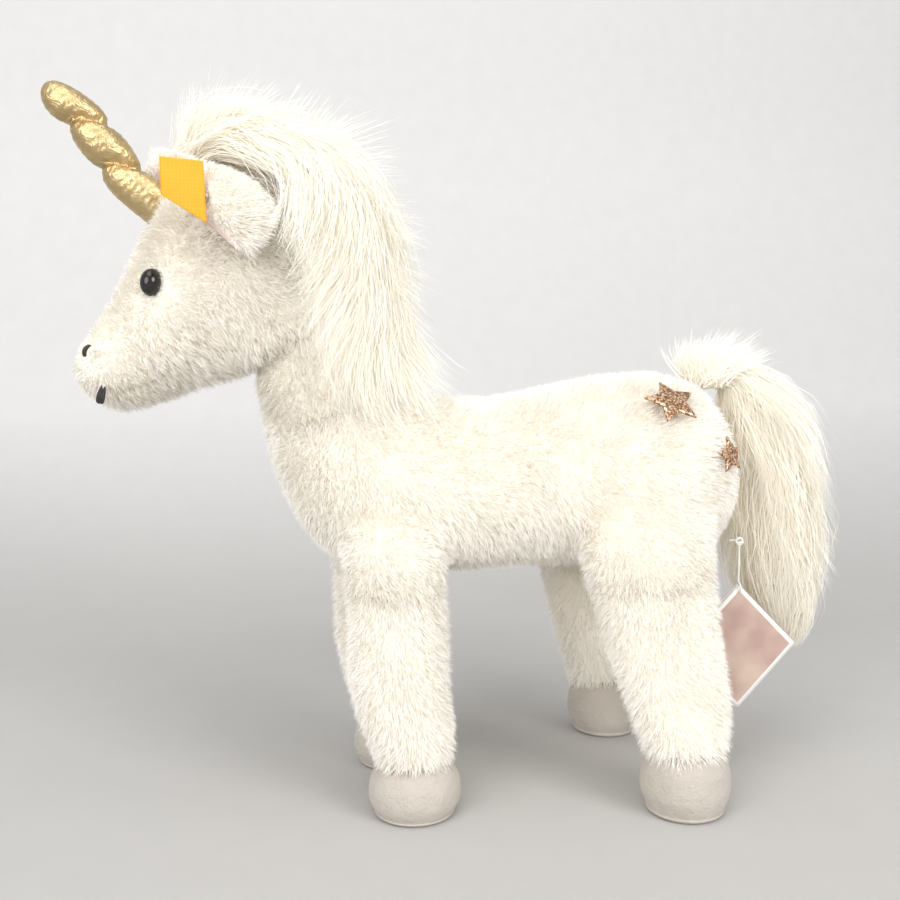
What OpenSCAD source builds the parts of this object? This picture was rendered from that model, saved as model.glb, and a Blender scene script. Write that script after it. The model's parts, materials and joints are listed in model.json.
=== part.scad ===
// Plush unicorn, standing. Millimetres, +Z up, the toy faces -Y and its left side is +X.
// The floor is z = 0, under the four soles.

/* [Body] */
// Height of the belly above the floor
leg_h = 88; // [70:1:115]
// Length of the trunk from rump to chest
body_len = 178; // [145:1:215]
// Height of the trunk from belly to back
body_h = 72; // [58:1:88]
// Greatest width of the trunk
body_w = 84; // [68:1:104]
// Thickness of the plush skin with its pile
skin_t = 4; // [2.5:0.5:5.5]
// Where the rump ends, along Y
rump_y = 104; // [90:1:120]

/* [Neck and head] */
// How far the nod pivot stands above the back line
neck_rise = 12.5; // [8:0.5:20]
// Radius of the rounded end of the neck in its socket
neck_r = 23; // [18:0.5:23]
// Depth of the neck at the socket, front to back
neck_d = 57; // [54:1:66]
// Width of the neck at the socket
neck_w = 56; // [55:1:64]
// Lean of the neck's end plane, in degrees
neck_tilt = 19; // [12:1:25]
// Distance from the nod pivot to the nose
head_len = 91; // [76:1:110]
// Height of the crown above the nod pivot
head_h = 76; // [64:1:92]
// Greatest width of the head
head_w = 59; // [50:1:70]
// How far the head nods each way, in degrees
nod = 12; // [4:1:12]

/* [Legs] */
// Half width of the front legs across the toy
front_w = 17.5; // [14:0.5:20]
// Radius of the front leg's rounded top
front_r = 21.5; // [17:0.5:25]
// Middle of the front leg across the toy, at its top and at its hoof
front_x = 26; // [24:0.5:32]
// Half width of the rear legs across the toy
rear_w = 18; // [15:0.5:21]
// Radius of the rear leg's rounded top
rear_r = 28; // [22:0.5:31]
// Middle of the rear leg across the toy, at its top
rear_x = 31; // [28:0.5:36]
// Middle of the rear hoof across the toy
rear_hoof_x = 44.5; // [38:0.5:50]
// How far each leg swings fore and aft, in degrees
swing = 15; // [5:1:15]

/* [Hooves] */
// Greatest radius of a front hoof
front_hoof_r = 17.5; // [14:0.5:20]
// Height of the front hoof's top seam
front_hoof_h = 18.5; // [15:0.5:24]
// Greatest radius of a rear hoof
rear_hoof_r = 17; // [14:0.5:20]
// Height of the rear hoof's top seam
rear_hoof_h = 23.5; // [18:0.5:28]
// Thickness of the hoof fabric
hoof_t = 2.6; // [1.5:0.1:3.5]
// Thickness of the sole disc
sole_t = 2; // [1.2:0.1:3]

/* [Horn] */
// Length of the horn from its seam to its tip
horn_len = 56; // [46:0.5:70]
// Greatest radius of the horn
horn_r = 8.2; // [6.5:0.1:10]
// Lean of the horn forward from upright, in degrees
horn_lean = 40.5; // [30:0.5:50]
// Thickness of the gold fabric
horn_t = 1; // [0.6:0.1:1.6]

/* [Ears] */
// Thickness of the ear's outer plush
ear_t = 1.8; // [1.2:0.1:2.1]
// Thickness of the ear's lining
lining_t = 1; // [0.6:0.1:1.2]
// Middle of the ear's base across the toy
ear_x = 33.5; // [33:0.5:37]

/* [Eyes and face] */
// Radius of an eye
eye_r = 5; // [4:0.1:6]
// Height of the eye's dome
eye_h = 3.4; // [2.6:0.1:4.5]
// Radius of the eye's shank
shank_r = 1.5; // [1:0.1:2]
// Length of the eye's shank
shank_len = 9; // [8:0.5:11]
// Radius of the eye's lock washer
washer_r = 6; // [4.5:0.1:7]
// Thickness of the eye's lock washer
washer_t = 1.2; // [0.8:0.1:1.6]
// Length of a nostril's stitching
nostril_len = 6; // [4:0.5:8]
// Length of a mouth stitch
mouth_len = 8; // [6:0.5:10]
// Radius of the mouth's yarn
mouth_r = 1.2; // [0.8:0.1:1.6]

/* [Mane and tail] */
// Greatest thickness of the mane
mane_h = 20; // [12:1:26]
// Half width of the tail across the toy
tail_w = 18; // [14:0.5:20]
// Length of the tail from root to tip
tail_len = 125; // [105:1:145]
// Radius of the tail's sewn dock
dock_r = 6; // [4.5:0.5:6.5]

/* [Trim] */
// Radius of the large star to its points
large_star_r = 9.5; // [7:0.5:12]
// Radius of the small star to its points
small_star_r = 6; // [4:0.5:8]
// Thickness of a star
star_t = 0.9; // [0.5:0.1:1.5]
// Radius of the ear button
button_r = 2.4; // [1.8:0.1:3]
// Height of the ear button's dome
button_h = 1.1; // [0.8:0.1:1.4]
// Thickness of the ear label
label_t = 0.6; // [0.4:0.1:1]
// Side of the square hang tag
card_side = 36.5; // [30:0.5:40]
// Thickness of one leaf of the hang tag
leaf_t = 0.5; // [0.3:0.1:0.8]
// Space between the two leaves
leaf_gap = 0.8; // [0.4:0.1:1.2]
// Radius of the hang tag's thread
thread_r = 0.4; // [0.3:0.05:0.5]
// Length of the hang tag's thread between its two loops
thread_len = 15.6; // [12:0.5:22]

/* [Hidden] */
$fn = 48;
// Clearance between two pieces of one body
gap = 0.3;
// Clearance between a moving piece and its neighbour
run = 0.5;
// Clearance between a skin and its filling, whose facets differ
fill_gap = 0.6;
wide = 400; // reaches past the whole toy

// Facets: rings along and points round each kind of form
trunk_n = [20, 24];
head_n = [18, 24];
leg_n = [7, 20];
tail_n = [12, 18];
ear_n = [6, 12];
mane_n = [9, 8];

chest_y = rump_y - body_len;
back_z = leg_h + body_h;
pivot = [chest_y + 12.3, back_z + neck_rise];
neck_u = [cos(neck_tilt), sin(neck_tilt)];
neck_up = [-sin(neck_tilt), cos(neck_tilt)];
neck_slit = (neck_d / 2 + 1) * tan(nod) + 2 * run; // between trunk and head, closed by a full nod
front_hip = [chest_y + 37, leg_h + 12];
rear_hip = [rump_y - 42, leg_h + 20];
front_hoof_y = front_hip[0] + 7.5;
rear_hoof_y = rear_hip[0] + 10;

// A station is one cross section: [low y, low z, high y, high z, half width, middle x].
function mix(a, b, u) = a + (b - a) * u;
function curve(a, b, c, d, u) =
    0.5 * (2 * b + (c - a) * u + (2 * a - 5 * b + 4 * c - d) * u * u
        + (3 * b - a - 3 * c + d) * u * u * u);
function station(st, t) =
    let (n = len(st) - 1, i = min(max(floor(t), 0), n - 1))
    curve(st[max(i - 1, 0)], st[i], st[i + 1], st[min(i + 2, n)], t - i);
// The point at t along the stations and a degrees round, off millimetres outside the form
function at(st, t, a, off = 0) =
    let (q = station(st, t), low = [q[0], q[1]], high = [q[2], q[3]], d = high - low,
        p = (low + high) / 2 + d / norm(d) * (norm(d) / 2 + off) * sin(a))
    [q[5] + (q[4] + off) * cos(a), p[0], p[1]];
// The outward direction at that point
function out(st, t, a) =
    let (n = cross(at(st, t, a + 1) - at(st, t, a - 1), at(st, t + 0.02, a) - at(st, t - 0.02, a)))
    n / norm(n);
function quad(a, b, c, d) = [[a, b, c], [a, c, d]];
function flat(lists) = [for (l = lists) for (x = l) x];

// Trunk: shares of body_len forward of the rump, of body_h above the belly, and of half the width
trunk_share = [
    [0.003, 0.39, 0.011, 0.64, 0.19],
    [0.014, 0.18, 0.034, 0.86, 0.64],
    [0.056, 0.04, 0.084, 1.05, 0.88],
    [0.163, -0.02, 0.185, 1.10, 1.00],
    [0.32, 0, 0.33, 1.06, 0.99],
    [0.478, 0, 0.483, 0.98, 0.93],
    [0.624, -0.01, 0.60, 0.945, 0.905],
    [0.781, -0.01, 0.663, 0.96, 0.905],
    [0.916, 0.08, 0.697, 1.00, 0.87]];
function trunk_station(s) = [
    rump_y - s[0] * body_len, leg_h + s[1] * body_h,
    rump_y - s[2] * body_len, leg_h + s[3] * body_h, s[4] * body_w / 2, 0];
neck_end = concat(
    pivot - neck_up * neck_slit - neck_u * (neck_d / 2 + 1),
    pivot - neck_up * neck_slit + neck_u * (neck_d / 2 + 1), [neck_w / 2, 0]);
chest = trunk_station(trunk_share[8]);
function neck_station(across, up, high, wide_at) = [
    mix(chest[0], neck_end[0], across), mix(chest[1], neck_end[1], up),
    mix(chest[2], neck_end[2], high), mix(chest[3], neck_end[3], high),
    mix(chest[4], neck_end[4], wide_at), 0];
trunk = concat([for (s = trunk_share) trunk_station(s)],
    [neck_station(0.47, 0.25, 0.35, 0.35), neck_station(0.8, 0.6, 0.7, 0.72), neck_end]);
trunk_end = len(trunk) - 1;

// Head: shares of head_len and head_h from the nod pivot, and of half the width
head_share = [
    [-0.333, -0.099, 0.227, 0.401, 0.93],
    [-0.366, -0.099, 0.085, 0.743, 0.965],
    [-0.41, -0.118, -0.146, 0.928, 1],
    [-0.465, -0.151, -0.41, 0.967, 1],
    [-0.542, -0.191, -0.575, 0.849, 0.965],
    [-0.63, -0.224, -0.685, 0.625, 0.90],
    [-0.718, -0.257, -0.773, 0.428, 0.80],
    [-0.805, -0.276, -0.871, 0.257, 0.695],
    [-0.882, -0.263, -0.943, 0.145, 0.625],
    [-0.948, -0.191, -0.987, 0.026, 0.475],
    [-0.987, -0.118, -1, -0.039, 0.17]];
head = concat(
    [concat(pivot - neck_u * neck_d / 2, pivot + neck_u * neck_d / 2, [neck_w / 2, 0])],
    [for (s = head_share) [
        pivot[0] + s[0] * head_len, pivot[1] + s[1] * head_h,
        pivot[0] + s[2] * head_len, pivot[1] + s[3] * head_h, s[4] * head_w / 2, 0]]);
head_end = len(head) - 1;

// Legs: [height share, depth from top to ankle, shift from hip to hoof], from the hip down
front_share = [
    [1, 0.1, 0], [0.78, 0.05, -0.1], [0.56, 0.05, 0.2], [0.325, 0.2, 0.45], [0.115, 0.75, 0.87], [0, 1, 1]];
rear_share = [
    [1, 0.05, 0], [0.763, 0, -0.05], [0.574, 0.18, 0.2], [0.373, 0.364, 0.55], [0.195, 0.573, 0.82], [0, 1, 1]];
function leg_stations(share, hip, r, w, top_x, hoof_x, hoof_y, hoof_r, seam) = [
    for (s = share) let (z = mix(seam, hip[1], s[0]), half = mix(r, hoof_r, s[1]), y = mix(hip[0], hoof_y, s[2]))
    [y + half, z, y - half, z, mix(w, hoof_r - 1, s[1]), mix(hoof_x, top_x, s[0])]];
front_leg = leg_stations(front_share, front_hip, front_r, front_w, front_x, front_x,
    front_hoof_y, front_hoof_r, front_hoof_h);
rear_leg = leg_stations(rear_share, rear_hip, rear_r, rear_w, rear_x, rear_hoof_x,
    rear_hoof_y, rear_hoof_r, rear_hoof_h);

// Ear: from its base seam to its tip, [low y, low z, high y, high z, half width, middle x] from the ear's root
ear_root = [pivot[0] - 0.2582 * head_len, pivot[1] + 0.5513 * head_h];
ear_share = [
    [-4.8, -8.2, 4.8, 8.8, 4.5, 0],
    [-11, -1.5, -3.5, 17, 5.2, 0.8],
    [-20, 7, -15.5, 21.5, 5, 0.2],
    [-29, 15, -27, 24.5, 4.2, -0.4],
    [-36.5, 20.5, -35.5, 25.5, 2.6, -1.5]];
ear = [for (s = ear_share) [
    ear_root[0] + s[0], ear_root[1] + s[1], ear_root[0] + s[2], ear_root[1] + s[3], s[4], ear_x + s[5]]];
ear_end = len(ear) - 1;

// Tail: [outer y, outer z, inner y, inner z] in shares of tail_len from its root, half width, middle x
tail_root = [rump_y + 5.57 - 0.065 * body_len, back_z + 3.5]; // follows the slope of the rump
tail_share = [
    [0.028, 0.05, 0.004, -0.03, 0.45, 0],
    [0.152, 0.065, 0.076, -0.085, 0.7, -0.5],
    [0.30, -0.04, 0.124, -0.2, 0.86, -1],
    [0.392, -0.19, 0.128, -0.33, 0.95, -2],
    [0.436, -0.41, 0.116, -0.48, 1, -3],
    [0.468, -0.60, 0.124, -0.62, 1, -4],
    [0.468, -0.76, 0.164, -0.75, 0.84, -5],
    [0.424, -0.87, 0.252, -0.86, 0.5, -5.5],
    [0.376, -0.96, 0.33, -0.94, 0.17, -6]];
tail = [for (s = tail_share) [
    tail_root[0] + s[0] * tail_len, tail_root[1] + s[1] * tail_len,
    tail_root[0] + s[2] * tail_len, tail_root[1] + s[3] * tail_len, s[4] * tail_w, s[5]]];
tail_end = len(tail) - 1;

// Hang tag: the loop round the anchor, then the thread, then the loop through the card
loop_r = 1.4; // middle radius of the upper loop
link_r = 2.2; // middle radius of the lower loop
hole_r = 1.1;
tag_x = 15;
anchor = [tag_x, rump_y + 3.5, leg_h + 9];
hole_z = anchor[2] - loop_r - thread_len - 2 * link_r;
hole_inset = 3.5; // from the card's top corner down to the hole

// A closed form through the stations, off millimetres outside them
module form(st, t0, t1, n, off = 0) {
    rings = [for (k = [0:n[0]], j = [0:n[1] - 1]) at(st, mix(t0, t1, k / n[0]), 360 * j / n[1], off)];
    first = len(rings);
    q0 = station(st, t0);
    q1 = station(st, t1);
    polyhedron(
        points = concat(rings, [
            [q0[5], (q0[0] + q0[2]) / 2, (q0[1] + q0[3]) / 2],
            [q1[5], (q1[0] + q1[2]) / 2, (q1[1] + q1[3]) / 2]]),
        faces = concat(
            flat([for (k = [0:n[0] - 1], j = [0:n[1] - 1])
                let (a = k * n[1] + j, b = k * n[1] + (j + 1) % n[1])
                quad(a, a + n[1], b + n[1], b)]),
            [for (j = [0:n[1] - 1]) [first, j, (j + 1) % n[1]]],
            [for (j = [0:n[1] - 1]) [first + 1, n[0] * n[1] + (j + 1) % n[1], n[0] * n[1] + j]]));
}

// A curved sheet over the stations between two offsets, from a0 to a1 degrees round;
// its inner face stops short of the ends by trim, and crown thickens its middle
module sheet(st, t0, t1, a0, a1, low, high, n, trim = [0, 0], crown = 0) {
    row = n[1] + 1;
    layer = (n[0] + 1) * row;
    function outer_off(k, j) = high + crown * sin(180 * j / n[1]) * sin(20 + 140 * k / n[0]);
    polyhedron(
        points = concat(
            [for (k = [0:n[0]], j = [0:n[1]])
                at(st, mix(t0, t1, k / n[0]), mix(a0, a1, j / n[1]), outer_off(k, j))],
            [for (k = [0:n[0]], j = [0:n[1]])
                at(st, mix(t0 + trim[0], t1 - trim[1], k / n[0]), mix(a0, a1, j / n[1]), low)]),
        faces = flat(concat(
            [for (k = [0:n[0] - 1], j = [0:n[1] - 1]) let (a = k * row + j)
                quad(a, a + row, a + row + 1, a + 1)],
            [for (k = [0:n[0] - 1], j = [0:n[1] - 1]) let (a = layer + k * row + j)
                quad(a + 1, a + row + 1, a + row, a)],
            [for (k = [0:n[0] - 1]) let (a = k * row)
                quad(a, a + layer, a + row + layer, a + row)],
            [for (k = [0:n[0] - 1]) let (a = k * row + n[1])
                quad(a, a + row, a + row + layer, a + layer)],
            [for (j = [0:n[1] - 1]) quad(j, j + 1, j + 1 + layer, j + layer)],
            [for (j = [0:n[1] - 1]) let (a = n[0] * row + j)
                quad(a + 1, a, a + layer, a + 1 + layer)])));
}

// Places its children on a form's surface, with their +Z pointing out of it
module on_skin(st, t, a, off = 0) {
    n = out(st, t, a);
    translate(at(st, t, a, off)) rotate([0, acos(n[2]), atan2(n[1], n[0])]) children();
}

module across(x, y, z, r, half) {
    translate([x - half, y, z]) rotate([0, 90, 0]) cylinder(r = r, h = 2 * half);
}

// Trunk -------------------------------------------------------------------

gusset_a = 24; // half angle of the belly strip
chamfer = 5; // of a leg's rounded top

module hip_room(hip, r, x, w) {
    inside = x - w - run;
    room = r + run;
    drop = 45;
    translate([inside, hip[0], hip[1]]) rotate([0, 90, 0]) cylinder(r = room, h = wide);
    side = room / cos(swing) + run;
    translate([inside, hip[0], hip[1]]) rotate([90, 0, 90]) linear_extrude(wide) polygon([
        [-room * cos(swing), room * sin(swing)], [-side, 0], [-side - drop * tan(swing), -drop],
        [side + drop * tan(swing), -drop], [side, 0], [room * cos(swing), room * sin(swing)]]);
}

module left_hips() {
    hip_room(front_hip, front_r, front_x, front_w);
    hip_room(rear_hip, rear_r, rear_x, rear_w);
}

module neck_room() {
    translate([0, pivot[0], pivot[1]]) sphere(neck_r + run);
}

module body_left() {
    color("ivory") difference() {
        sheet(trunk, 0, trunk_end, gusset_a - 90, 90, -skin_t, 0, [trunk_n[0], 9], [0.35, 0]);
        left_hips();
        neck_room();
    }
}

module body_right() {
    mirror([1, 0, 0]) body_left();
}

module body_gusset() {
    color("floralwhite") difference() {
        sheet(trunk, 0, trunk_end, -90 - gusset_a, gusset_a - 90, -skin_t, 0, [trunk_n[0], 4], [0.35, 0]);
        left_hips();
        mirror([1, 0, 0]) left_hips();
        neck_room();
    }
}

module body_stuffing() {
    color("white") difference() {
        form(trunk, 0.35, trunk_end, trunk_n, -skin_t - fill_gap);
        left_hips();
        mirror([1, 0, 0]) left_hips();
        neck_room();
    }
}

module star(r) {
    points = 5;
    waist = 0.46; // share of the radius at the inner corners
    linear_extrude(star_t) polygon([for (i = [0:2 * points - 1])
        (i % 2 == 0 ? r : waist * r) * [cos(180 * i / points), sin(180 * i / points)]]);
}

module large_star() {
    color("rosybrown") on_skin(trunk, 3.1, 44, gap + 0.8) rotate(20) star(large_star_r);
}

module small_star() {
    color("rosybrown") on_skin(trunk, 1.9, 12, gap + 0.5) rotate(50) star(small_star_r);
}

// Legs ---------------------------------------------------------------------

// The rounded top of a leg, turned about its hinge line
module leg_top(hip, r, x, w, off) {
    h = w + off;
    q = r + off;
    translate([x, hip[0], hip[1]]) rotate([0, 90, 0]) rotate_extrude() polygon([
        [0, -h], [q - chamfer, -h], [q, chamfer - h], [q, h - chamfer], [q - chamfer, h], [0, h]]);
}

module leg_cover(st, hip, r, x, w) {
    difference() {
        union() {
            form(st, 0, len(st) - 1, leg_n);
            leg_top(hip, r, x, w, 0);
        }
        leg_inside(st, hip, r, x, w, -skin_t, 0.1);
    }
}

// over runs the form past the leg's lower end
module leg_inside(st, hip, r, x, w, off, over) {
    form(st, 0, len(st) - 1 + over, leg_n, off);
    leg_top(hip, r, x, w, off);
}

// A hoof's outline: [radius share, height share] from the sole up
hoof_share = [[0.88, 0], [0.955, 0.1], [1, 0.3], [1, 0.55], [0.96, 0.8], [0.9, 1]];
hoof_lift = 0.8; // the hoof fabric's lower edge above the floor
sole_share = 0.8; // the sole's radius as a share of the hoof's
function hoof_line(r, h, off) = [for (s = hoof_share) [s[0] * r + off, mix(hoof_lift, h, s[1])]];
function backward(list) = [for (i = [len(list) - 1:-1:0]) list[i]];

module hoof_cover(x, y, r, h) {
    sole_r = sole_share * r + gap;
    inner = [for (p = hoof_line(r, h, -hoof_t)) [max(p[0], sole_r), p[1]]];
    translate([x, y, 0]) rotate_extrude() polygon(concat(hoof_line(r, h, 0), backward(inner)));
}

module hoof_sole(x, y, r) {
    translate([x, y, 0]) cylinder(r = sole_share * r, h = sole_t);
}

module leg_stuffing(st, hip, r, x, w, hoof_r, hoof_h) {
    end = st[len(st) - 1];
    fill = hoof_line(hoof_r, hoof_h, -hoof_t - gap);
    low = sole_t + gap;
    union() {
        leg_inside(st, hip, r, x, w, -skin_t - fill_gap, 0);
        translate([end[5], (end[0] + end[2]) / 2, 0]) rotate_extrude() polygon(concat(
            [[0, low]], [for (p = fill) [min(p[0], hoof_r - hoof_t - 1), max(p[1], low)]], [[0, hoof_h]]));
    }
}

// Head ---------------------------------------------------------------------

crown_a = 18; // half angle of the centre strip
horn_t_at = 5.7; // where the horn stands along the head
horn_seat = at(head, horn_t_at, 90, 0.293 * horn_r);
horn_ball = 5.2;
eye_at = [6, 18.5];
eye_sink = 1; // how deep the eye's back sits in the plush
washer_deep = skin_t + 1.4;

module eye_room(r, low, shank, deep) {
    on_skin(head, eye_at[0], eye_at[1]) {
        translate([0, 0, -low]) cylinder(r = r, h = low + 20);
        translate([0, 0, -deep]) cylinder(r = shank, h = deep);
    }
}

module head_left() {
    color("ivory") difference() {
        sheet(head, 0, head_end, -90, 90 - crown_a, -skin_t, 0, [head_n[0], 10], [0, 0.45]);
        eye_room(eye_r + 0.1, eye_sink, shank_r + 0.1, 2 * skin_t);
    }
}

module head_right() {
    mirror([1, 0, 0]) head_left();
}

module head_gusset() {
    color("floralwhite") difference() {
        sheet(head, 0, head_end, 90 - crown_a, 90 + crown_a, -skin_t, 0, [head_n[0], 3], [0, 0.45]);
        translate(horn_seat) sphere(horn_ball + run);
    }
}

module head_stuffing() {
    color("white") difference() {
        union() {
            form(head, 0, head_end - 0.45, head_n, -skin_t - fill_gap);
            translate([0, pivot[0], pivot[1]]) sphere(neck_r);
        }
        translate(horn_seat) sphere(horn_ball + run);
        eye_room(washer_r + gap, washer_deep + washer_t + gap, shank_r + gap, shank_len + 3);
        mirror([1, 0, 0]) eye_room(washer_r + gap, washer_deep + washer_t + gap, shank_r + gap, shank_len + 3);
    }
}

// A dome's outline from its rim to its top
function dome(r, h, steps) = [for (i = [0:steps]) [r * cos(90 * i / steps), h * sin(90 * i / steps)]];

module eye_left() {
    color("black") on_skin(head, eye_at[0], eye_at[1]) translate([0, 0, -eye_sink])
        rotate_extrude() polygon(concat(
            [[0, -shank_len], [shank_r, -shank_len], [shank_r, 0]], dome(eye_r, eye_h, 9)));
}

module eye_washer_left() {
    color("gray") on_skin(head, eye_at[0], eye_at[1]) translate([0, 0, -washer_deep - washer_t])
        difference() {
            cylinder(r = washer_r, h = washer_t);
            translate([0, 0, -1]) cylinder(r = shank_r + 0.05, h = washer_t + 2);
        }
}

// A pointed oval of stitching
module nostril_left() {
    bow = nostril_len; // radius of each side
    color("dimgray") on_skin(head, 8.65, 18, gap) rotate(35) linear_extrude(0.8) intersection() {
        translate([bow * 0.8, 0]) circle(bow);
        translate([-bow * 0.8, 0]) circle(bow);
    }
}

module mouth_left() {
    color("black") on_skin(head, 8.5, -38, mouth_r + gap + 0.4) rotate([0, 90, 20]) {
        translate([0, 0, -mouth_len / 2]) cylinder(r = mouth_r, h = mouth_len);
        translate([0, 0, mouth_len / 2]) sphere(mouth_r);
        translate([0, 0, -mouth_len / 2]) sphere(mouth_r);
    }
}

// Mane ---------------------------------------------------------------------

module mane_head() {
    color("cornsilk") sheet(head, 0.35, 4.9, 52, 122, gap, 3, mane_n, [0, 0], mane_h - 3);
}

module mane_neck() {
    color("cornsilk") sheet(trunk, 8.4, trunk_end - 0.1, 20, 116, gap, 3, mane_n, [0, 0], mane_h / 5);
}

// Ears ---------------------------------------------------------------------

ear_open = 34; // half angle of the ear's opening, on its lower front side

module ear_sheet(low, high, t0, t1, trim) {
    sheet(ear, t0, t1, ear_open - 90, 270 - ear_open, low, high, ear_n, trim);
}

module ear_left_outer() {
    color("ivory") ear_sheet(-ear_t, 0, 0, ear_end, [0, 0.35]);
}

module ear_left_lining() {
    color("mistyrose") ear_sheet(-ear_t - gap - lining_t, -ear_t - gap, 0.3, 3, [0, 0]);
}

button_at = [1.9, -24];

module ear_button() {
    color("dimgray") on_skin(ear, button_at[0], button_at[1], gap)
        rotate_extrude() polygon(concat([[0, 0]], dome(button_r, button_h, 6)));
}

label_x = ear_x + 7.6; // inner face of the label, clear of the button
label_low = [[ear_root[0] - 30.8, ear_root[1] + 10.5], [ear_root[0] - 16.3, ear_root[1] + 1.5]];
label_top = ear_root[1] + 23;

module ear_label() {
    color("gold") translate([label_x, 0, 0]) rotate([90, 0, 90]) linear_extrude(label_t) polygon([
        label_low[0], label_low[1], [label_low[1][0] - 0.8, label_top - 1], [label_low[0][0] - 0.4, label_top]]);
}

// Horn ---------------------------------------------------------------------

// Outline: [radius share, length share] from the base to the tip
horn_share = [
    [0.6, 0], [0.69, 0.06], [0.81, 0.15], [0.75, 0.25], [0.66, 0.32], [0.84, 0.39], [1, 0.48],
    [0.87, 0.57], [0.56, 0.64], [0.66, 0.71], [0.77, 0.8], [0.7, 0.89], [0.46, 0.96], [0.2, 0.99], [0, 1]];
waists = [4, 8]; // where the thread cinches it, in the list above
horn_steps = 2;
function horn_line(off) = [
    for (i = [0:1 / horn_steps:len(horn_share) - 1])
    let (s = station([for (h = horn_share) [h[0], h[1]]], i))
    [max(s[0] * horn_r + off, 0), s[1] * (horn_len + off)]];

module horn_place() {
    translate(horn_seat) rotate([horn_lean, 0, 0]) children();
}

module horn_turned(off, base) {
    line = [for (p = horn_line(off)) if (p[0] > 0) p];
    rotate_extrude() polygon(concat([[0, base]], [[line[0][0], base]], line, [[0, horn_len + off]]));
}

module horn_cover() {
    color("goldenrod") horn_place() difference() {
        union() {
            horn_turned(0, 0);
            sphere(horn_ball);
        }
        horn_turned(-horn_t, -1);
        for (w = waists) horn_ring(w, 0.25);
    }
}

module horn_ring(w, extra) {
    translate([0, 0, horn_share[w][1] * horn_len]) rotate_extrude()
        translate([horn_share[w][0] * horn_r, 0]) circle(0.45 + extra);
}

module horn_stuffing() {
    color("white") horn_place() difference() {
        horn_turned(-horn_t - gap, -0.6);
        for (w = waists) horn_ring(w, 0.8);
    }
}

module horn_thread() {
    color("darkgoldenrod") horn_place() for (w = waists) horn_ring(w, 0);
}

// Tail ---------------------------------------------------------------------

dock_len = 20;
dock_lean = 103; // from upright, towards the back

module dock(r) {
    translate([0, tail_root[0], tail_root[1]]) rotate([-dock_lean, 0, 0]) {
        sphere(r);
        cylinder(r = r, h = dock_len);
        translate([0, 0, dock_len]) sphere(r);
    }
}

module tail_dock() {
    color("ivory") dock(dock_r);
}

module tail_hair() {
    color("cornsilk") difference() {
        form(tail, 0, tail_end, tail_n);
        dock(dock_r + gap);
    }
}

// Hang tag -----------------------------------------------------------------

module card_leaf(x) {
    corner = hole_z + hole_inset;
    translate([x, anchor[1], corner]) rotate([45, 0, 0])
        translate([0, -card_side, -card_side]) cube([leaf_t, card_side, card_side]);
}

module tag_card() {
    corner = hole_z + hole_inset;
    color("wheat") difference() {
        union() {
            card_leaf(tag_x - leaf_gap / 2 - leaf_t);
            card_leaf(tag_x + leaf_gap / 2);
            translate([tag_x - leaf_gap / 2, anchor[1], corner]) rotate([45, 0, 0])
                translate([0, -card_side, -card_side]) cube([leaf_gap, leaf_t, card_side]);
        }
        across(tag_x, anchor[1], hole_z, hole_r, 5);
    }
}

module tag_loop() {
    color("white") {
        translate(anchor) rotate([0, 90, 0]) rotate_extrude() translate([loop_r, 0]) circle(thread_r);
        translate([tag_x, anchor[1], hole_z + 2 * link_r]) cylinder(r = thread_r, h = thread_len);
        translate([tag_x, anchor[1], hole_z + link_r]) rotate([90, 0, 0]) rotate_extrude()
            translate([link_r, 0]) circle(thread_r);
    }
}

module tag_anchor() {
    half = 3;
    color("white") {
        across(tag_x, anchor[1], anchor[2], thread_r, half);
        for (s = [-1, 1]) translate([tag_x + s * half, anchor[1], anchor[2]]) rotate([90, 0, 0]) {
            cylinder(r = thread_r, h = 3);
            sphere(thread_r);
        }
    }
}

module on_right(side) {
    if (side == "right") mirror([1, 0, 0]) children();
    else children();
}

body_left();
body_right();
body_gusset();
body_stuffing();
large_star();
small_star();
for (side = ["left", "right"]) {
    front = str("front_", side, "_");
    rear = str("rear_", side, "_");
    color("ivory") on_right(side) leg_cover(front_leg, front_hip, front_r, front_x, front_w);
    color("white") on_right(side) leg_stuffing(front_leg, front_hip, front_r, front_x, front_w,
            front_hoof_r, front_hoof_h);
    color("linen") on_right(side) hoof_cover(front_x, front_hoof_y, front_hoof_r, front_hoof_h);
    color("linen") on_right(side) hoof_sole(front_x, front_hoof_y, front_hoof_r);
    color("ivory") on_right(side) leg_cover(rear_leg, rear_hip, rear_r, rear_x, rear_w);
    color("white") on_right(side) leg_stuffing(rear_leg, rear_hip, rear_r, rear_x, rear_w,
            rear_hoof_r, rear_hoof_h);
    color("linen") on_right(side) hoof_cover(rear_hoof_x, rear_hoof_y, rear_hoof_r, rear_hoof_h);
    color("linen") on_right(side) hoof_sole(rear_hoof_x, rear_hoof_y, rear_hoof_r);
    on_right(side) eye_left();
    on_right(side) eye_washer_left();
    on_right(side) nostril_left();
    on_right(side) mouth_left();
    on_right(side) ear_left_outer();
    on_right(side) ear_left_lining();
}
head_left();
head_right();
head_gusset();
head_stuffing();
mane_head();
mane_neck();
ear_button();
ear_label();
horn_cover();
horn_stuffing();
horn_thread();
tail_dock();
tail_hair();
tag_card();
tag_loop();
tag_anchor();
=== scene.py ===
import bpy
import bmesh
import json
import math
import time
import numpy as np
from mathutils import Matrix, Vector
from mathutils.bvhtree import BVHTree


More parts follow.
